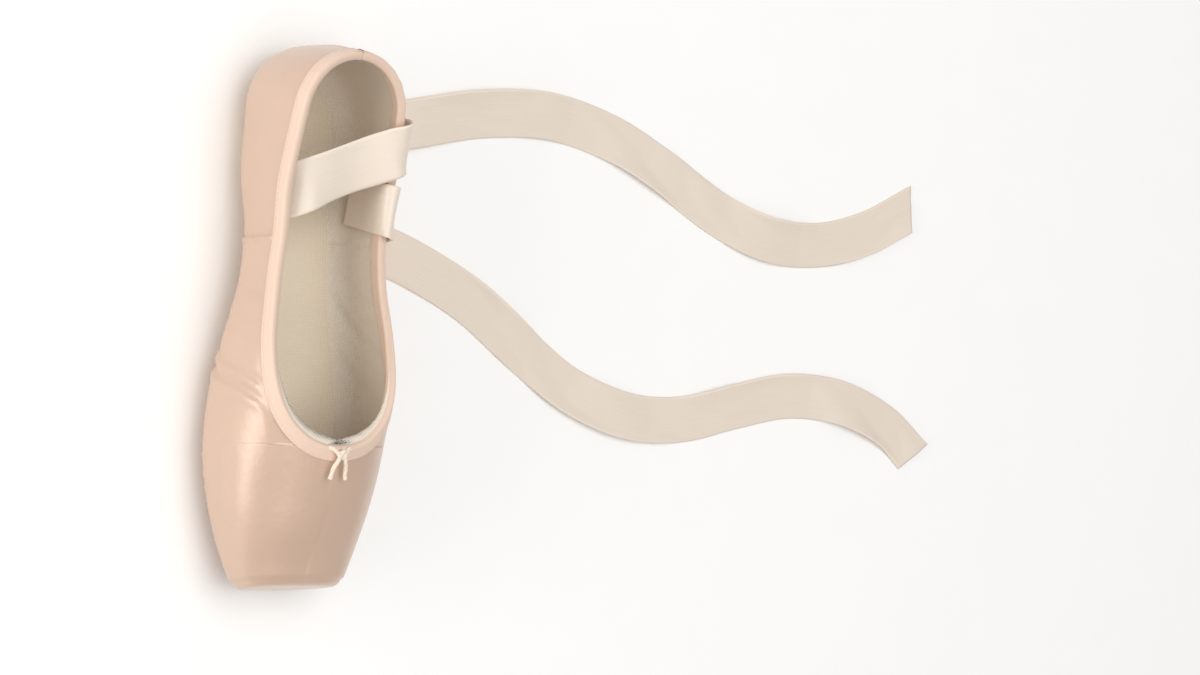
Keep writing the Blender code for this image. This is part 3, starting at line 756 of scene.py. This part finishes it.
def ribbon_material():
    """Single faced satin ribbon: fine lengthwise threads between two woven edges."""
    base = colour_of("ribbon")
    made, tree, shader = new_material(
        "satin_ribbon", IOR=1.5, Sheen_Weight=0.15, Sheen_Roughness=0.4,
    )
    shader.inputs["Specular IOR Level"].default_value = 0.6
    weave = add_node(tree, "ShaderNodeAttribute", attribute_name="pattern").outputs["Vector"]
    parts = add_node(tree, "ShaderNodeSeparateXYZ", {"Vector": weave}).outputs
    # Threads across the width, drawn 0.5 mm apart
    stretched = add_node(tree, "ShaderNodeMapping", {
        "Vector": weave, "Scale": (0.06, 2.2, 1.0),
    }).outputs["Vector"]
    thread = add_node(tree, "ShaderNodeTexNoise", {
        "Vector": stretched, "Scale": 1.0, "Detail": 2.0,
    }).outputs["Fac"]
    edge = add_node(tree, "ShaderNodeMath", {0: parts["Y"]}, operation="ABSOLUTE").outputs["Value"]
    selvedge = add_node(tree, "ShaderNodeMapRange", {
        "Value": edge, "From Min": 9.9, "From Max": 10.2,
    }).outputs["Result"]
    tint = add_node(tree, "ShaderNodeMix", {
        "Factor": thread, "A": shaded(base, 0.93), "B": shaded(base, 1.04),
    }, data_type="RGBA").outputs["Result"]
    edged = add_node(tree, "ShaderNodeMix", {
        "Factor": selvedge, "A": tint, "B": shaded(base, 1.08),
    }, data_type="RGBA").outputs["Result"]
    tree.links.new(edged, shader.inputs["Base Color"])
    rough = add_node(tree, "ShaderNodeMapRange", {
        "Value": selvedge, "To Min": 0.36, "To Max": 0.62,
    }).outputs["Result"]
    tree.links.new(rough, shader.inputs["Roughness"])
    raised = add_node(tree, "ShaderNodeMath", {
        0: thread, 1: selvedge,
    }, operation="ADD").outputs["Value"]
    bump = add_node(tree, "ShaderNodeBump", {
        "Height": raised, "Strength": 0.4, "Distance": 0.0002,
    }).outputs["Normal"]
    tree.links.new(bump, shader.inputs["Normal"])
    return made


def suede_material():
    """Buffed suede: a short nap with no gloss, brushed lighter and darker in patches."""
    base = colour_of("suede")
    made, tree, shader = new_material(
        "buff_suede", IOR=1.45, Sheen_Weight=0.35, Sheen_Roughness=0.7, Roughness=0.95,
    )
    shader.inputs["Specular IOR Level"].default_value = 0.2
    place = add_node(tree, "ShaderNodeTexCoord").outputs["Object"]
    # Nap, fibres about 0.5 mm long
    nap = add_node(tree, "ShaderNodeTexNoise", {
        "Vector": place, "Scale": 1500.0, "Detail": 4.0, "Roughness": 0.7,
    }).outputs["Fac"]
    brushed = add_node(tree, "ShaderNodeTexNoise", {
        "Vector": place, "Scale": 75.0, "Detail": 3.0, "Distortion": 1.2,
    }).outputs["Fac"]
    both = add_node(tree, "ShaderNodeMix", {
        "Factor": 0.55, "A": nap, "B": brushed,
    }, data_type="FLOAT").outputs["Result"]
    spread = add_node(tree, "ShaderNodeMapRange", {
        "Value": both, "From Min": 0.32, "From Max": 0.68,
    }).outputs["Result"]
    tint = add_node(tree, "ShaderNodeMix", {
        "Factor": spread, "A": shaded(base, 0.80), "B": shaded(base, 1.08),
    }, data_type="RGBA").outputs["Result"]
    tree.links.new(tint, shader.inputs["Base Color"])
    bump = add_node(tree, "ShaderNodeBump", {
        "Height": nap, "Strength": 0.7, "Distance": 0.0004,
    }).outputs["Normal"]
    tree.links.new(bump, shader.inputs["Normal"])
    return made


def cotton_material(name, base):
    """Spun cotton: matt, with plies that wind round the cord 1.2 mm apart."""
    made, tree, shader = new_material(
        name, IOR=1.5, Sheen_Weight=0.25, Sheen_Roughness=0.6, Roughness=0.8,
    )
    shader.inputs["Specular IOR Level"].default_value = 0.3
    place = add_node(tree, "ShaderNodeTexCoord").outputs["Object"]
    ply = add_node(tree, "ShaderNodeTexWave", {
        "Vector": place, "Scale": 260.0, "Distortion": 1.5, "Detail": 2.0,
    }, wave_type="BANDS", bands_direction="DIAGONAL").outputs["Fac"]
    tint = add_node(tree, "ShaderNodeMix", {
        "Factor": ply, "A": shaded(base, 0.86), "B": base,
    }, data_type="RGBA").outputs["Result"]
    tree.links.new(tint, shader.inputs["Base Color"])
    bump = add_node(tree, "ShaderNodeBump", {
        "Height": ply, "Strength": 0.5, "Distance": 0.0002,
    }).outputs["Normal"]
    tree.links.new(bump, shader.inputs["Normal"])
    return made


def paper_material():
    """Seamless white paper of the studio floor."""
    made, tree, shader = new_material("white_paper", Roughness=0.9)
    place = add_node(tree, "ShaderNodeTexCoord").outputs["Object"]
    grain = add_node(tree, "ShaderNodeTexNoise", {"Vector": place, "Scale": 40.0}).outputs["Fac"]
    tint = add_node(tree, "ShaderNodeMix", {
        "Factor": grain, "A": linear("#f9f9f8"), "B": linear("#fcfbfa"),
    }, data_type="RGBA").outputs["Result"]
    tree.links.new(tint, shader.inputs["Base Color"])
    return made


def catmull(rows, steps):
    """Rows of numbers on a smooth curve through the route's own rows."""
    knots = np.vstack((2.0 * rows[0] - rows[1], rows, 2.0 * rows[-1] - rows[-2]))
    made = []
    for k in range(1, len(knots) - 2):
        before, start, end, after = knots[k - 1:k + 3]
        for t in np.arange(steps) / steps:
            made.append(0.5 * (
                2.0 * start
                + (end - before) * t
                + (2.0 * before - 5.0 * start + 4.0 * end - after) * t * t
                + (3.0 * start - before - 3.0 * end + after) * t ** 3
            ))
    made.append(knots[-2])
    return np.array(made)


def unit(vectors):
    """Vectors of length 1."""
    return vectors / np.maximum(np.linalg.norm(vectors, axis=-1, keepdims=True), 1e-9)


def even_rows(rows, spacing):
    """The same route with its rows evenly spaced."""
    steps = np.linalg.norm(np.diff(rows[:, :3], axis=0), axis=1)
    travelled = np.concatenate(([0.0], np.cumsum(steps)))
    at = np.linspace(0.0, travelled[-1], max(int(travelled[-1] / spacing), 2) + 1)
    made = np.column_stack([np.interp(at, travelled, rows[:, k]) for k in range(rows.shape[1])])
    return made, at


def make_ribbon(name, rows, phase, node):
    """One ribbon: a thin band that hugs the collar and then lies in loose waves."""
    sizes = bpy.context.scene.shoe_sizes
    route, at = even_rows(catmull(rows, 12), 1.1)
    middle = route[:, :3].copy()
    lying = ease(at, 118.0, 165.0)
    thick = sizes.ribbon_thickness / MM
    middle[:, 2] -= lying * (0.8 - thick)
    wave = np.sin(at / 17.0 + phase) * np.sin(at / 41.0 + 2.0 * phase)
    middle[:, 2] += lying * 1.5 * np.maximum(wave, 0.0)
    tangent = unit(np.gradient(middle, axis=0))
    across = unit(np.cross(tangent, route[:, 3:6]))
    lift = unit(np.cross(across, tangent))
    down = np.einsum("ij,ij->i", lift, route[:, 3:6]) > 0.0
    lift[down] *= -1.0
    columns = 15
    half = sizes.ribbon_width / MM / 2.0
    places = np.zeros((len(at), columns, 3))
    pattern = np.zeros_like(places)
    for k, offset in enumerate(np.linspace(-half, half, columns)):
        share = offset / half
        tip = 4.5 * ease(at, at[-1] - 20.0, at[-1])
        places[:, k] = middle + across * offset + tangent * (share * tip)[:, None]
        curl = lying * np.maximum(
            2.1 * share * np.sin(at / 29.0 + phase) * abs(share)
            + 0.7 * np.sin(at / 11.0 + 2.0 * share + phase), -0.0,
        )
        over = (1.0 - lying) * 0.25 * (share * share - 0.4) * np.sin(at / 13.0 + phase)
        places[:, k] += lift * (curl + over)[:, None]
        pattern[:, k, 0] = at
        pattern[:, k, 1] = offset
    places[:, :, 2] = np.where(
        lying[:, None] > 0.5, np.maximum(places[:, :, 2], thick * 0.55), places[:, :, 2],
    )
    ribbon = placed_grid(name, places * MM, pattern)
    thicken = ribbon.modifiers.new("thickness", "SOLIDIFY")
    thicken.thickness = sizes.ribbon_thickness
    thicken.offset = 0.0
    select_only(ribbon)
    bpy.ops.object.modifier_apply(modifier=thicken.name)
    bpy.ops.object.shade_smooth()
    path = [tuple(point * MM) for point in middle[::4]]
    if len(middle) % 4 != 1:
        path.append(tuple(middle[-1] * MM))
    finish_piece(ribbon, bpy.data.materials["satin_ribbon"], "ribbon_satin", node)
    return ribbon


def last_tree():
    """The bare last as a search tree, for laying bands on it."""
    sheet, _ = form_sheet(lambda axis: (0.0, 0.0), 90, 1.0, -200.0, None)
    rows, columns = sheet.shape[:2]
    places = np.concatenate((sheet, sheet * np.array((1.0, -1.0, 1.0)))).reshape(-1, 3)
    faces = []
    for base in (0, rows * columns):
        for i in range(rows - 1):
            for j in range(columns - 1):
                k = base + i * columns + j
                faces.append((k, k + 1, k + columns + 1, k + columns))
    return BVHTree.FromPolygons([Vector(place) for place in places], faces)


def on_surface(tree, points):
    """The nearest points of the last."""
    return np.array([tree.find_nearest(Vector(point))[0] for point in points])


def collar_path(tree, spacing):
    """The collar's edge all the way round, with the distance along it and the way down the side."""
    share = np.linspace(0.0, 1.0, 240)
    along = THROAT * (1.0 - 0.6 * share ** 2 - 0.4 * share ** 3)
    height = collar_height(along)
    form = sections(np.maximum(along, HEEL_AXIS))
    above = np.maximum(height - form["wide"], 0.0) / (form["crown"] - form["wide"])
    half = form["half"] * np.maximum(1.0 - above ** form["high"], 0.0) ** (1.0 / form["high"])
    back = np.maximum(HEEL_AXIS - along, 0.0) * form["half"] / HEEL_AXIS
    half = np.sqrt(np.maximum(half ** 2 - back ** 2, 0.0))
    far = np.column_stack((along, half, height))
    near = far[::-1] * np.array((1.0, -1.0, 1.0))
    loop, at = even_rows(np.concatenate((far, near[1:])), spacing)
    loop = on_surface(tree, loop[:-1])
    tangent = unit(np.roll(loop, -1, axis=0) - np.roll(loop, 1, axis=0))
    normal = outward_normals(loop)
    down = unit(np.cross(tangent, normal))
    down[down[:, 2] > 0.0] *= -1.0
    normal = unit(np.cross(down, tangent))
    normal[np.einsum("ij,ij->i", normal, outward_normals(loop)) < 0.0] *= -1.0
    return loop, at[:-1], down


def make_binding(tree):
    """The folded band over the collar's edge, with the drawstring's roll in its fold."""
    sizes = bpy.context.scene.shoe_sizes
    width = sizes.binding_width / MM
    loop, at, down = collar_path(tree, 0.75)
    count = len(loop)
    # The band's cross-section, outer lower edge to inner lower edge and back inside:
    # drop below the edge, part of the wall from outside to inside, stand-off in mm
    thick = 0.7
    section = []
    for drop in (width, width - 0.15, width - 0.5, width - 0.9, width - 1.3, width - 1.8, 3.9, 3.1):
        near_edge = bell(drop - (width - 1.15), 0.45)
        edge = 1.0 - ease(drop, width - 0.45, width)
        section.append((drop, 0.0, GAP + thick * (0.35 + 0.65 * edge) - 0.22 * near_edge))
    for drop, part, off in (
        (2.4, 0.0, 1.08), (1.7, 0.0, 1.16), (1.0, 0.0, 1.12), (0.45, 0.04, 0.92), (0.1, 0.16, 0.5),
        (-0.08, 0.36, 0.1), (-0.1, 0.6, 0.0), (0.05, 0.84, -0.3), (0.4, 0.97, -0.8), (1.0, 1.0, -1.0),
    ):
        section.append((drop, part, off))
    for drop in (1.8, 2.8, 3.9, 5.0, width - 0.6, width - 0.15):
        section.append((drop, 1.0, -GAP - thick))
    section.append((width, 1.0, -GAP - 0.3))
    for drop in (width - 0.4, 4.0, 2.0, 0.95):
        section.append((drop, 1.0, -GAP))
    section.append((0.72, 0.7, 0.0))
    section.append((0.72, 0.3, 0.0))
    for drop in (0.95, 2.0, 4.0, width - 0.4):
        section.append((drop, 0.0, GAP))
    section.append(section[0])
    pull = 0.35 + 0.65 * ease(loop[:, 0], 70.0, 18.0)
    gathers = np.sin(at / 1.35 + 1.6 * np.sin(at / 7.1)) * (0.6 + 0.4 * np.sin(at / 12.0))
    places = np.zeros((len(section), count + 1, 3))
    pattern = np.zeros_like(places)
    for k, (drop, part, off) in enumerate(section):
        skin = on_surface(tree, loop + down * drop)
        normal = outward_normals(skin)
        inward = part * wall(skin[:, 0])
        ripple = 0.0
        if off > 0.4:
            ripple = 0.17 * pull * gathers * ease(drop, width + 0.5, 2.5)
            ripple = ripple * (0.35 + 0.65 * ease(drop, 0.0, 1.6))
        place = skin + normal * (off - inward + ripple)[:, None]
        place = in_frame(place)
        places[k, :-1] = place
        places[k, -1] = place[0]
        pattern[k, :-1, 0] = at
        pattern[k, -1, 0] = at[-1] + 0.75
        pattern[k, :, 1] = drop + 12.0 * part
    binding = close_seams(placed_grid("throat_binding_band", places, pattern))
    return finish_piece(
        binding, bpy.data.materials["binding_satin_bias"], "binding_satin", "throat_binding",
    )


def stitched(name, lines, length, gap, thick):
    """Stitches along lines of (points, normals) in metres: one is modelled, then copied."""
    bpy.ops.object.select_all(action="DESELECT")
    bpy.ops.mesh.primitive_uv_sphere_add(segments=8, ring_count=6, radius=1.0)
    pattern = bpy.context.object
    verts = np.empty(len(pattern.data.vertices) * 3)
    pattern.data.vertices.foreach_get("co", verts)
    verts = verts.reshape(-1, 3)
    verts[:, 2] = np.sign(verts[:, 2]) * np.abs(verts[:, 2]) ** 0.75
    faces = [tuple(face.vertices) for face in pattern.data.polygons]
    bpy.ops.object.delete()
    all_verts = []
    all_faces = []
    for points, normals in lines:
        steps = np.linalg.norm(np.diff(points, axis=0), axis=1)
        travelled = np.concatenate(([0.0], np.cumsum(steps)))
        count = int(travelled[-1] / (length + gap))
        for k in range(count):
            ends = (np.array((k, k + length / (length + gap))) + 0.1) * (length + gap)
            a, b = [np.array([np.interp(e, travelled, points[:, i]) for i in range(3)]) for e in ends]
            normal = unit(np.array([
                np.interp(ends.mean(), travelled, normals[:, i]) for i in range(3)
            ]))
            way = unit(b - a)
            aside = unit(np.cross(normal, way))
            up = np.cross(way, aside)
            base = len(all_verts) * len(verts)
            all_verts.append(
                (a + b) / 2.0
                + verts[:, 2:3] * way * length / 2.0
                + verts[:, 0:1] * aside * thick / 2.0
                + verts[:, 1:2] * up * thick * 0.32
            )
            all_faces += [tuple(index + base for index in face) for face in faces]
    mesh = bpy.data.meshes.new(name)
    mesh.from_pydata(np.concatenate(all_verts).tolist(), [], all_faces)
    obj = bpy.data.objects.new(name, mesh)
    bpy.context.scene.collection.objects.link(obj)
    select_only(obj)
    bpy.ops.object.shade_smooth()
    return obj


def seam_line(tree, loop, down, drop, off):
    """Line that runs round the collar at a drop, standing off the last."""
    skin = on_surface(tree, loop + down * drop)
    normal = outward_normals(skin)
    place = in_frame(skin + normal * off)
    return np.vstack((place, place[:1])), np.vstack((normal, normal[:1]))


def sole_height(along, across, out):
    """Height of the last's underside, moved outwards by out."""
    form = sections(np.maximum(along, HEEL_AXIS))
    half = form["half"] + out
    back = np.maximum(HEEL_AXIS - along, 0.0) * half / (HEEL_AXIS + out)
    share = np.clip(np.hypot(back, across) / half, 0.0, 0.999)
    rise = form["wide"] - form["floor"] + out
    return form["wide"] - rise * (1.0 - share ** form["low"]) ** (1.0 / form["low"])


def sole_outline(table, ends, count):
    """Points round a sole's outline, as (along, across), starting at the heel."""
    heel = table[0, 0] * LENGTH
    toe = table[-1, 0] * LENGTH
    turn = np.linspace(0.0, math.pi / 2.0, count // 8)
    side = [(heel - (heel - ends[0]) * math.cos(a), a, 0) for a in turn]
    side += [(x, math.pi / 2.0, 1) for x in np.linspace(heel, toe, count // 4 + 2)[1:-1]]
    side += [(toe + (ends[1] - toe) * math.cos(a), a, 2) for a in turn[::-1]]
    made = []
    for x, a, part in side:
        share = 1.0 if part == 1 else math.sin(a)
        if part == 2:
            share = max(share, 0.0) ** 0.9
        width = float(through(table[:, 0], table[:, 1], np.clip(x, heel, toe) / LENGTH))
        made.append((x, width * BALL_WIDTH / 2.0 * share))
    other = [(x, -y) for x, y in made[-2:0:-1]]
    return np.array(made + other + made[:1])


def make_sole(name, table, ends, low_out, high_out, wear):
    """A sole on the last's underside, rounded at its cut edge, flat where it stands."""
    outline = sole_outline(table, ends, 320)
    heel = table[0, 0] * LENGTH
    toe = table[-1, 0] * LENGTH
    core = np.column_stack((np.clip(outline[:, 0], heel, toe), np.zeros(len(outline))))
    radius = np.maximum(np.linalg.norm(outline - core, axis=1), 0.01)
    inward = [0.0, 0.02, 0.05, 0.12, 0.25, 0.45, 0.75, 1.2, 2.0, 3.2]
    deep = np.linspace(0.0, 1.0, 15)[1:]
    places = []
    pattern = []

    def ring(share, level_of, blend):
        plan = outline + (core - outline) * np.reshape(share, (-1, 1))
        low = np.maximum(sole_height(plan[:, 0], plan[:, 1], low_out(plan[:, 0])), wear)
        high = sole_height(plan[:, 0], plan[:, 1], high_out(plan[:, 0]))
        height = low + (high - low) * blend if level_of is None else level_of(low, high)
        places.append(np.column_stack((plan, height)))
        pattern.append(np.column_stack((plan, height)))

    def shares(distance):
        return np.minimum(distance / radius, 1.0)

    for share in deep[::-1]:
        inset = shares(3.2) + (1.0 - shares(3.2)) * share
        ring(inset, None, 0.0)
    round_edge = 0.55
    for distance in inward[::-1]:
        depth = round_edge - math.sqrt(max(round_edge ** 2 - (round_edge - min(distance, round_edge)) ** 2, 0.0))
        ring(shares(distance), lambda low, high, d=depth: np.minimum(low + d, high), 0.0)
    for blend in (0.4, 0.6, 0.8):
        ring(shares(0.0), None, blend)
    for distance in inward:
        depth = 0.35 - math.sqrt(max(0.35 ** 2 - (0.35 - min(distance, 0.35)) ** 2, 0.0))
        ring(shares(distance), lambda low, high, d=depth: np.maximum(high - d, low), 0.0)
    for share in deep:
        inset = shares(3.2) + (1.0 - shares(3.2)) * share
        ring(inset, None, 1.0)
    stack = np.array(places)
    made = in_frame(stack.reshape(-1, 3)).reshape(stack.shape)
    return close_seams(placed_grid(name, made, np.array(pattern)))


def softbox(name, place, target, size, energy, colour):
    """A soft light that faces its target."""
    data = bpy.data.lights.new(name, "AREA")
    data.energy = energy
    data.color = linear(colour, alpha=False)
    data.shape = "RECTANGLE"
    data.size, data.size_y = size
    lamp = bpy.data.objects.new(name, data)
    lamp.location = place
    way = Vector(target) - Vector(place)
    lamp.rotation_euler = way.to_track_quat("-Z", "Y").to_euler()
    bpy.context.scene.collection.objects.link(lamp)
    return lamp


class SHOE_OT_stage(bpy.types.Operator):
    """Lay the white floor, light it softly and set up the camera"""

    bl_idname = "shoe.stage"
    bl_label = "Stage"

    def execute(self, context):
        bpy.ops.object.select_all(action="DESELECT")
        bpy.ops.mesh.primitive_plane_add(size=8.0, location=(0.0, 0.0, 0.0))
        floor = context.object
        floor.name = "studio_floor"
        floor.data.materials.append(paper_material())
        world = bpy.data.worlds.new("studio")
        world.use_nodes = True
        sky = world.node_tree.nodes["Background"]
        sky.inputs["Color"].default_value = linear("#fbfaf8")
        sky.inputs["Strength"].default_value = 0.50
        context.scene.world = world
        context.scene.view_settings.view_transform = "Standard"
        softbox("side_softbox", (0.04, -1.0, 0.25), (0.02, 0.0, 0.03), (1.0, 0.48), 5.2, "#fffaf6")
        softbox("top_softbox", (-0.3, -0.2, 2.6), (0.0, 0.12, 0.0), (2.6, 2.6), 46.0, "#ffffff")
        elevation = math.radians(49.0)
        roll = math.radians(-3.0)
        right = Vector((0.0, math.sin(elevation), math.cos(elevation)))
        up = Vector((-1.0, 0.0, 0.0))
        back = right.cross(up)
        turned_up = up * math.cos(roll) + right * math.sin(roll)
        turned_right = right * math.cos(roll) - up * math.sin(roll)
        target = Vector((0.001, 0.0, 0.0)) + right * 0.142
        data = bpy.data.cameras.new("camera")
        data.lens = 100.0
        data.clip_start = 0.01
        camera = bpy.data.objects.new("camera", data)
        place = target + back * (0.515 * data.lens / data.sensor_width)
        rows = [(turned_right[k], turned_up[k], back[k], place[k]) for k in range(3)]
        camera.matrix_world = Matrix((*rows, (0.0, 0.0, 0.0, 1.0)))
        context.scene.collection.objects.link(camera)
        context.scene.camera = camera
        return {"FINISHED"}


class SHOE_OT_ribbons(bpy.types.Operator):
    """Lay the two satin ribbons over the collar and along the floor"""

    bl_idname = "shoe.ribbons"
    bl_label = "Ribbons"

    def execute(self, context):
        ribbon_material()
        make_ribbon("near_ribbon_satin", NEAR_RIBBON, 0.6, "near_ribbon")
        make_ribbon("far_ribbon_satin", FAR_RIBBON, 2.3, "far_ribbon")
        return {"FINISHED"}


class SHOE_OT_upper(bpy.types.Operator):
    """Model the satin quarters, vamp and box with their seams and creases"""

    bl_idname = "shoe.upper"
    bl_label = "Satin upper"

    def execute(self, context):
        depth = context.scene.shoe_sizes.crease_depth
        satin = satin_material()
        shell = upper_shell(
            "satin_upper", lambda axis: (0.0, 0.0), lambda axis: (-0.8, -0.8), 92, 12, 1.0, depth,
        )
        finish_piece(shell, satin, "satin", "upper")
        return {"FINISHED"}


class SHOE_OT_lining(bpy.types.Operator):
    """Model the cotton lining of the upper and the insole"""

    bl_idname = "shoe.lining"
    bl_label = "Lining and insole"

    def execute(self, context):
        depth = context.scene.shoe_sizes.crease_depth
        drill = woven_material("cotton_drill", colour_of("drill"), 0.9, 45.0, 0.25, 0.85, 0.10)
        shell = upper_shell(
            "drill_lining", lambda axis: (-0.9, -0.9),
            lambda axis: (-float(wall(axis)), -PLATFORM_WALL), 40, 40, 2.2, depth * 0.9,
        )
        finish_piece(shell, drill, "sock_lining", "upper")
        cloth = woven_material(
            "brushed_cotton", colour_of("insole"), 1.0, 0.0, 0.2, 0.9, 0.08,
        )
        insole = make_sole(
            "cotton_insole", INSOLE, INSOLE_ENDS,
            lambda along: -wall(along) - GAP, lambda along: -wall(along) - GAP - 1.6, -50.0,
        )
        finish_piece(insole, cloth, "sock_lining", "insole")
        return {"FINISHED"}


class SHOE_OT_outsole(bpy.types.Operator):
    """Model the suede outsole"""

    bl_idname = "shoe.outsole"
    bl_label = "Outsole"

    def execute(self, context):
        sole = make_sole(
            "suede_outsole", OUTSOLE, OUTSOLE_ENDS,
            lambda along: np.full(np.shape(along), GAP + 2.6),
            lambda along: np.full(np.shape(along), GAP), 0.0,
        )
        finish_piece(sole, suede_material(), "suede", "outsole")
        return {"FINISHED"}


class SHOE_OT_binding(bpy.types.Operator):
    """Fold the binding over the collar and sew it down"""

    bl_idname = "shoe.binding"
    bl_label = "Binding"

    def execute(self, context):
        sizes = context.scene.shoe_sizes
        woven_material("binding_satin_bias", colour_of("binding"), 0.55, 45.0, 0.12, 0.55, 0.06)
        tree = last_tree()
        make_binding(tree)
        loop, _, down = collar_path(tree, 0.75)
        drop = sizes.binding_width / MM - 1.15
        row = seam_line(tree, loop, down, drop, GAP + 0.7 - 0.12)
        thread = cotton_material("sewing_thread", linear("#efd6c3"))
        seam = stitched(
            "binding_stitches", [row], sizes.stitch_length, sizes.stitch_length * 0.45, 0.00034,
        )
        finish_piece(seam, thread, "binding_satin")
        return {"FINISHED"}


class SHOE_OT_drawstring(bpy.types.Operator):
    """Tie the drawstring's knot at the throat"""

    bl_idname = "shoe.drawstring"
    bl_label = "Drawstring"

    def execute(self, context):
        radius = context.scene.shoe_sizes.string_thickness / 2.0
        place = THROAT + 3.4
        crown = float(sections(place)["crown"])
        seat = in_frame(np.array(((place, 0.0, crown + 3.1),)))[0]
        curves = []
        turns = np.linspace(0.0, 2.0 * math.pi, 48, endpoint=False)
        loop = np.column_stack((
            np.sin(turns) + 2.0 * np.sin(2.0 * turns),
            np.cos(turns) - 2.0 * np.cos(2.0 * turns),
            -1.1 * np.sin(3.0 * turns),
        )) * np.array((0.00052, 0.00062, 0.00048))
        curves.append((loop + seat, True))
        for side in (1.0, -1.0):
            tail = np.array((
                (0.0002, side * 0.0008, 0.0), (0.0028, side * 0.0019, -0.0002),
                (0.0056, side * 0.0031, -0.0014), (0.0082, side * 0.0034, -0.0022),
                (0.0105, side * 0.0040, -0.0026),
            ))
            curves.append((catmull(tail, 5) + seat, False))
            root = np.array((
                (0.0, side * 0.0012, -0.0003), (-0.0012, side * 0.0026, -0.0006),
                (-0.0024, side * 0.0042, -0.0012), (-0.0028, side * 0.0058, -0.0024),
            ))
            curves.append((catmull(root, 4) + seat, False))
        data = bpy.data.curves.new("drawstring", "CURVE")
        data.dimensions = "3D"
        data.bevel_depth = radius
        data.bevel_resolution = 5
        data.use_fill_caps = True
        for points, cyclic in curves:
            spline = data.splines.new("POLY")
            spline.points.add(len(points) - 1)
            for point, co in zip(spline.points, points):
                point.co = (*co, 1.0)
            spline.use_cyclic_u = cyclic
        string = bpy.data.objects.new("drawstring_tied", data)
        context.scene.collection.objects.link(string)
        select_only(string)
        bpy.ops.object.convert(target="MESH")
        string = context.object
        string.data.name = "drawstring_tied"
        close_seams(string)
        cotton = cotton_material("spun_cotton", colour_of("cotton"))
        finish_piece(string, cotton, "cotton_string", "drawstring_knot")
        return {"FINISHED"}


OPERATORS = (
    SHOE_OT_stage, SHOE_OT_ribbons, SHOE_OT_upper, SHOE_OT_lining,
    SHOE_OT_outsole, SHOE_OT_binding, SHOE_OT_drawstring,
)


class SHOE_PT_panel(bpy.types.Panel):
    """Sizes, colours and the pieces of the shoe"""

    bl_label = "Pointe shoe"
    bl_idname = "SHOE_PT_panel"
    bl_space_type = "VIEW_3D"
    bl_region_type = "UI"
    bl_category = "Pointe shoe"

    def draw(self, context):
        for group in (context.scene.shoe_sizes, context.scene.shoe_colours):
            for name in group.__annotations__:
                self.layout.prop(group, name)
        for operator in OPERATORS:
            self.layout.operator(operator.bl_idname)


CLASSES = (ShoeSizes, ShoeColours, *OPERATORS, SHOE_PT_panel)


def register():
    """Register the classes and the shoe's properties."""
    for cls in CLASSES:
        bpy.utils.register_class(cls)
    bpy.types.Scene.shoe_sizes = bpy.props.PointerProperty(type=ShoeSizes)
    bpy.types.Scene.shoe_colours = bpy.props.PointerProperty(type=ShoeColours)


def unregister():
    """Take the properties and the classes away again."""
    del bpy.types.Scene.shoe_colours
    del bpy.types.Scene.shoe_sizes
    for cls in reversed(CLASSES):
        bpy.utils.unregister_class(cls)


def main():
    """Make the stage and every piece."""
    register()
    bpy.ops.shoe.stage()
    bpy.ops.shoe.ribbons()
    bpy.ops.shoe.upper()
    bpy.ops.shoe.lining()
    bpy.ops.shoe.outsole()
    bpy.ops.shoe.binding()
    bpy.ops.shoe.drawstring()


if __name__ == "__main__":
    main()
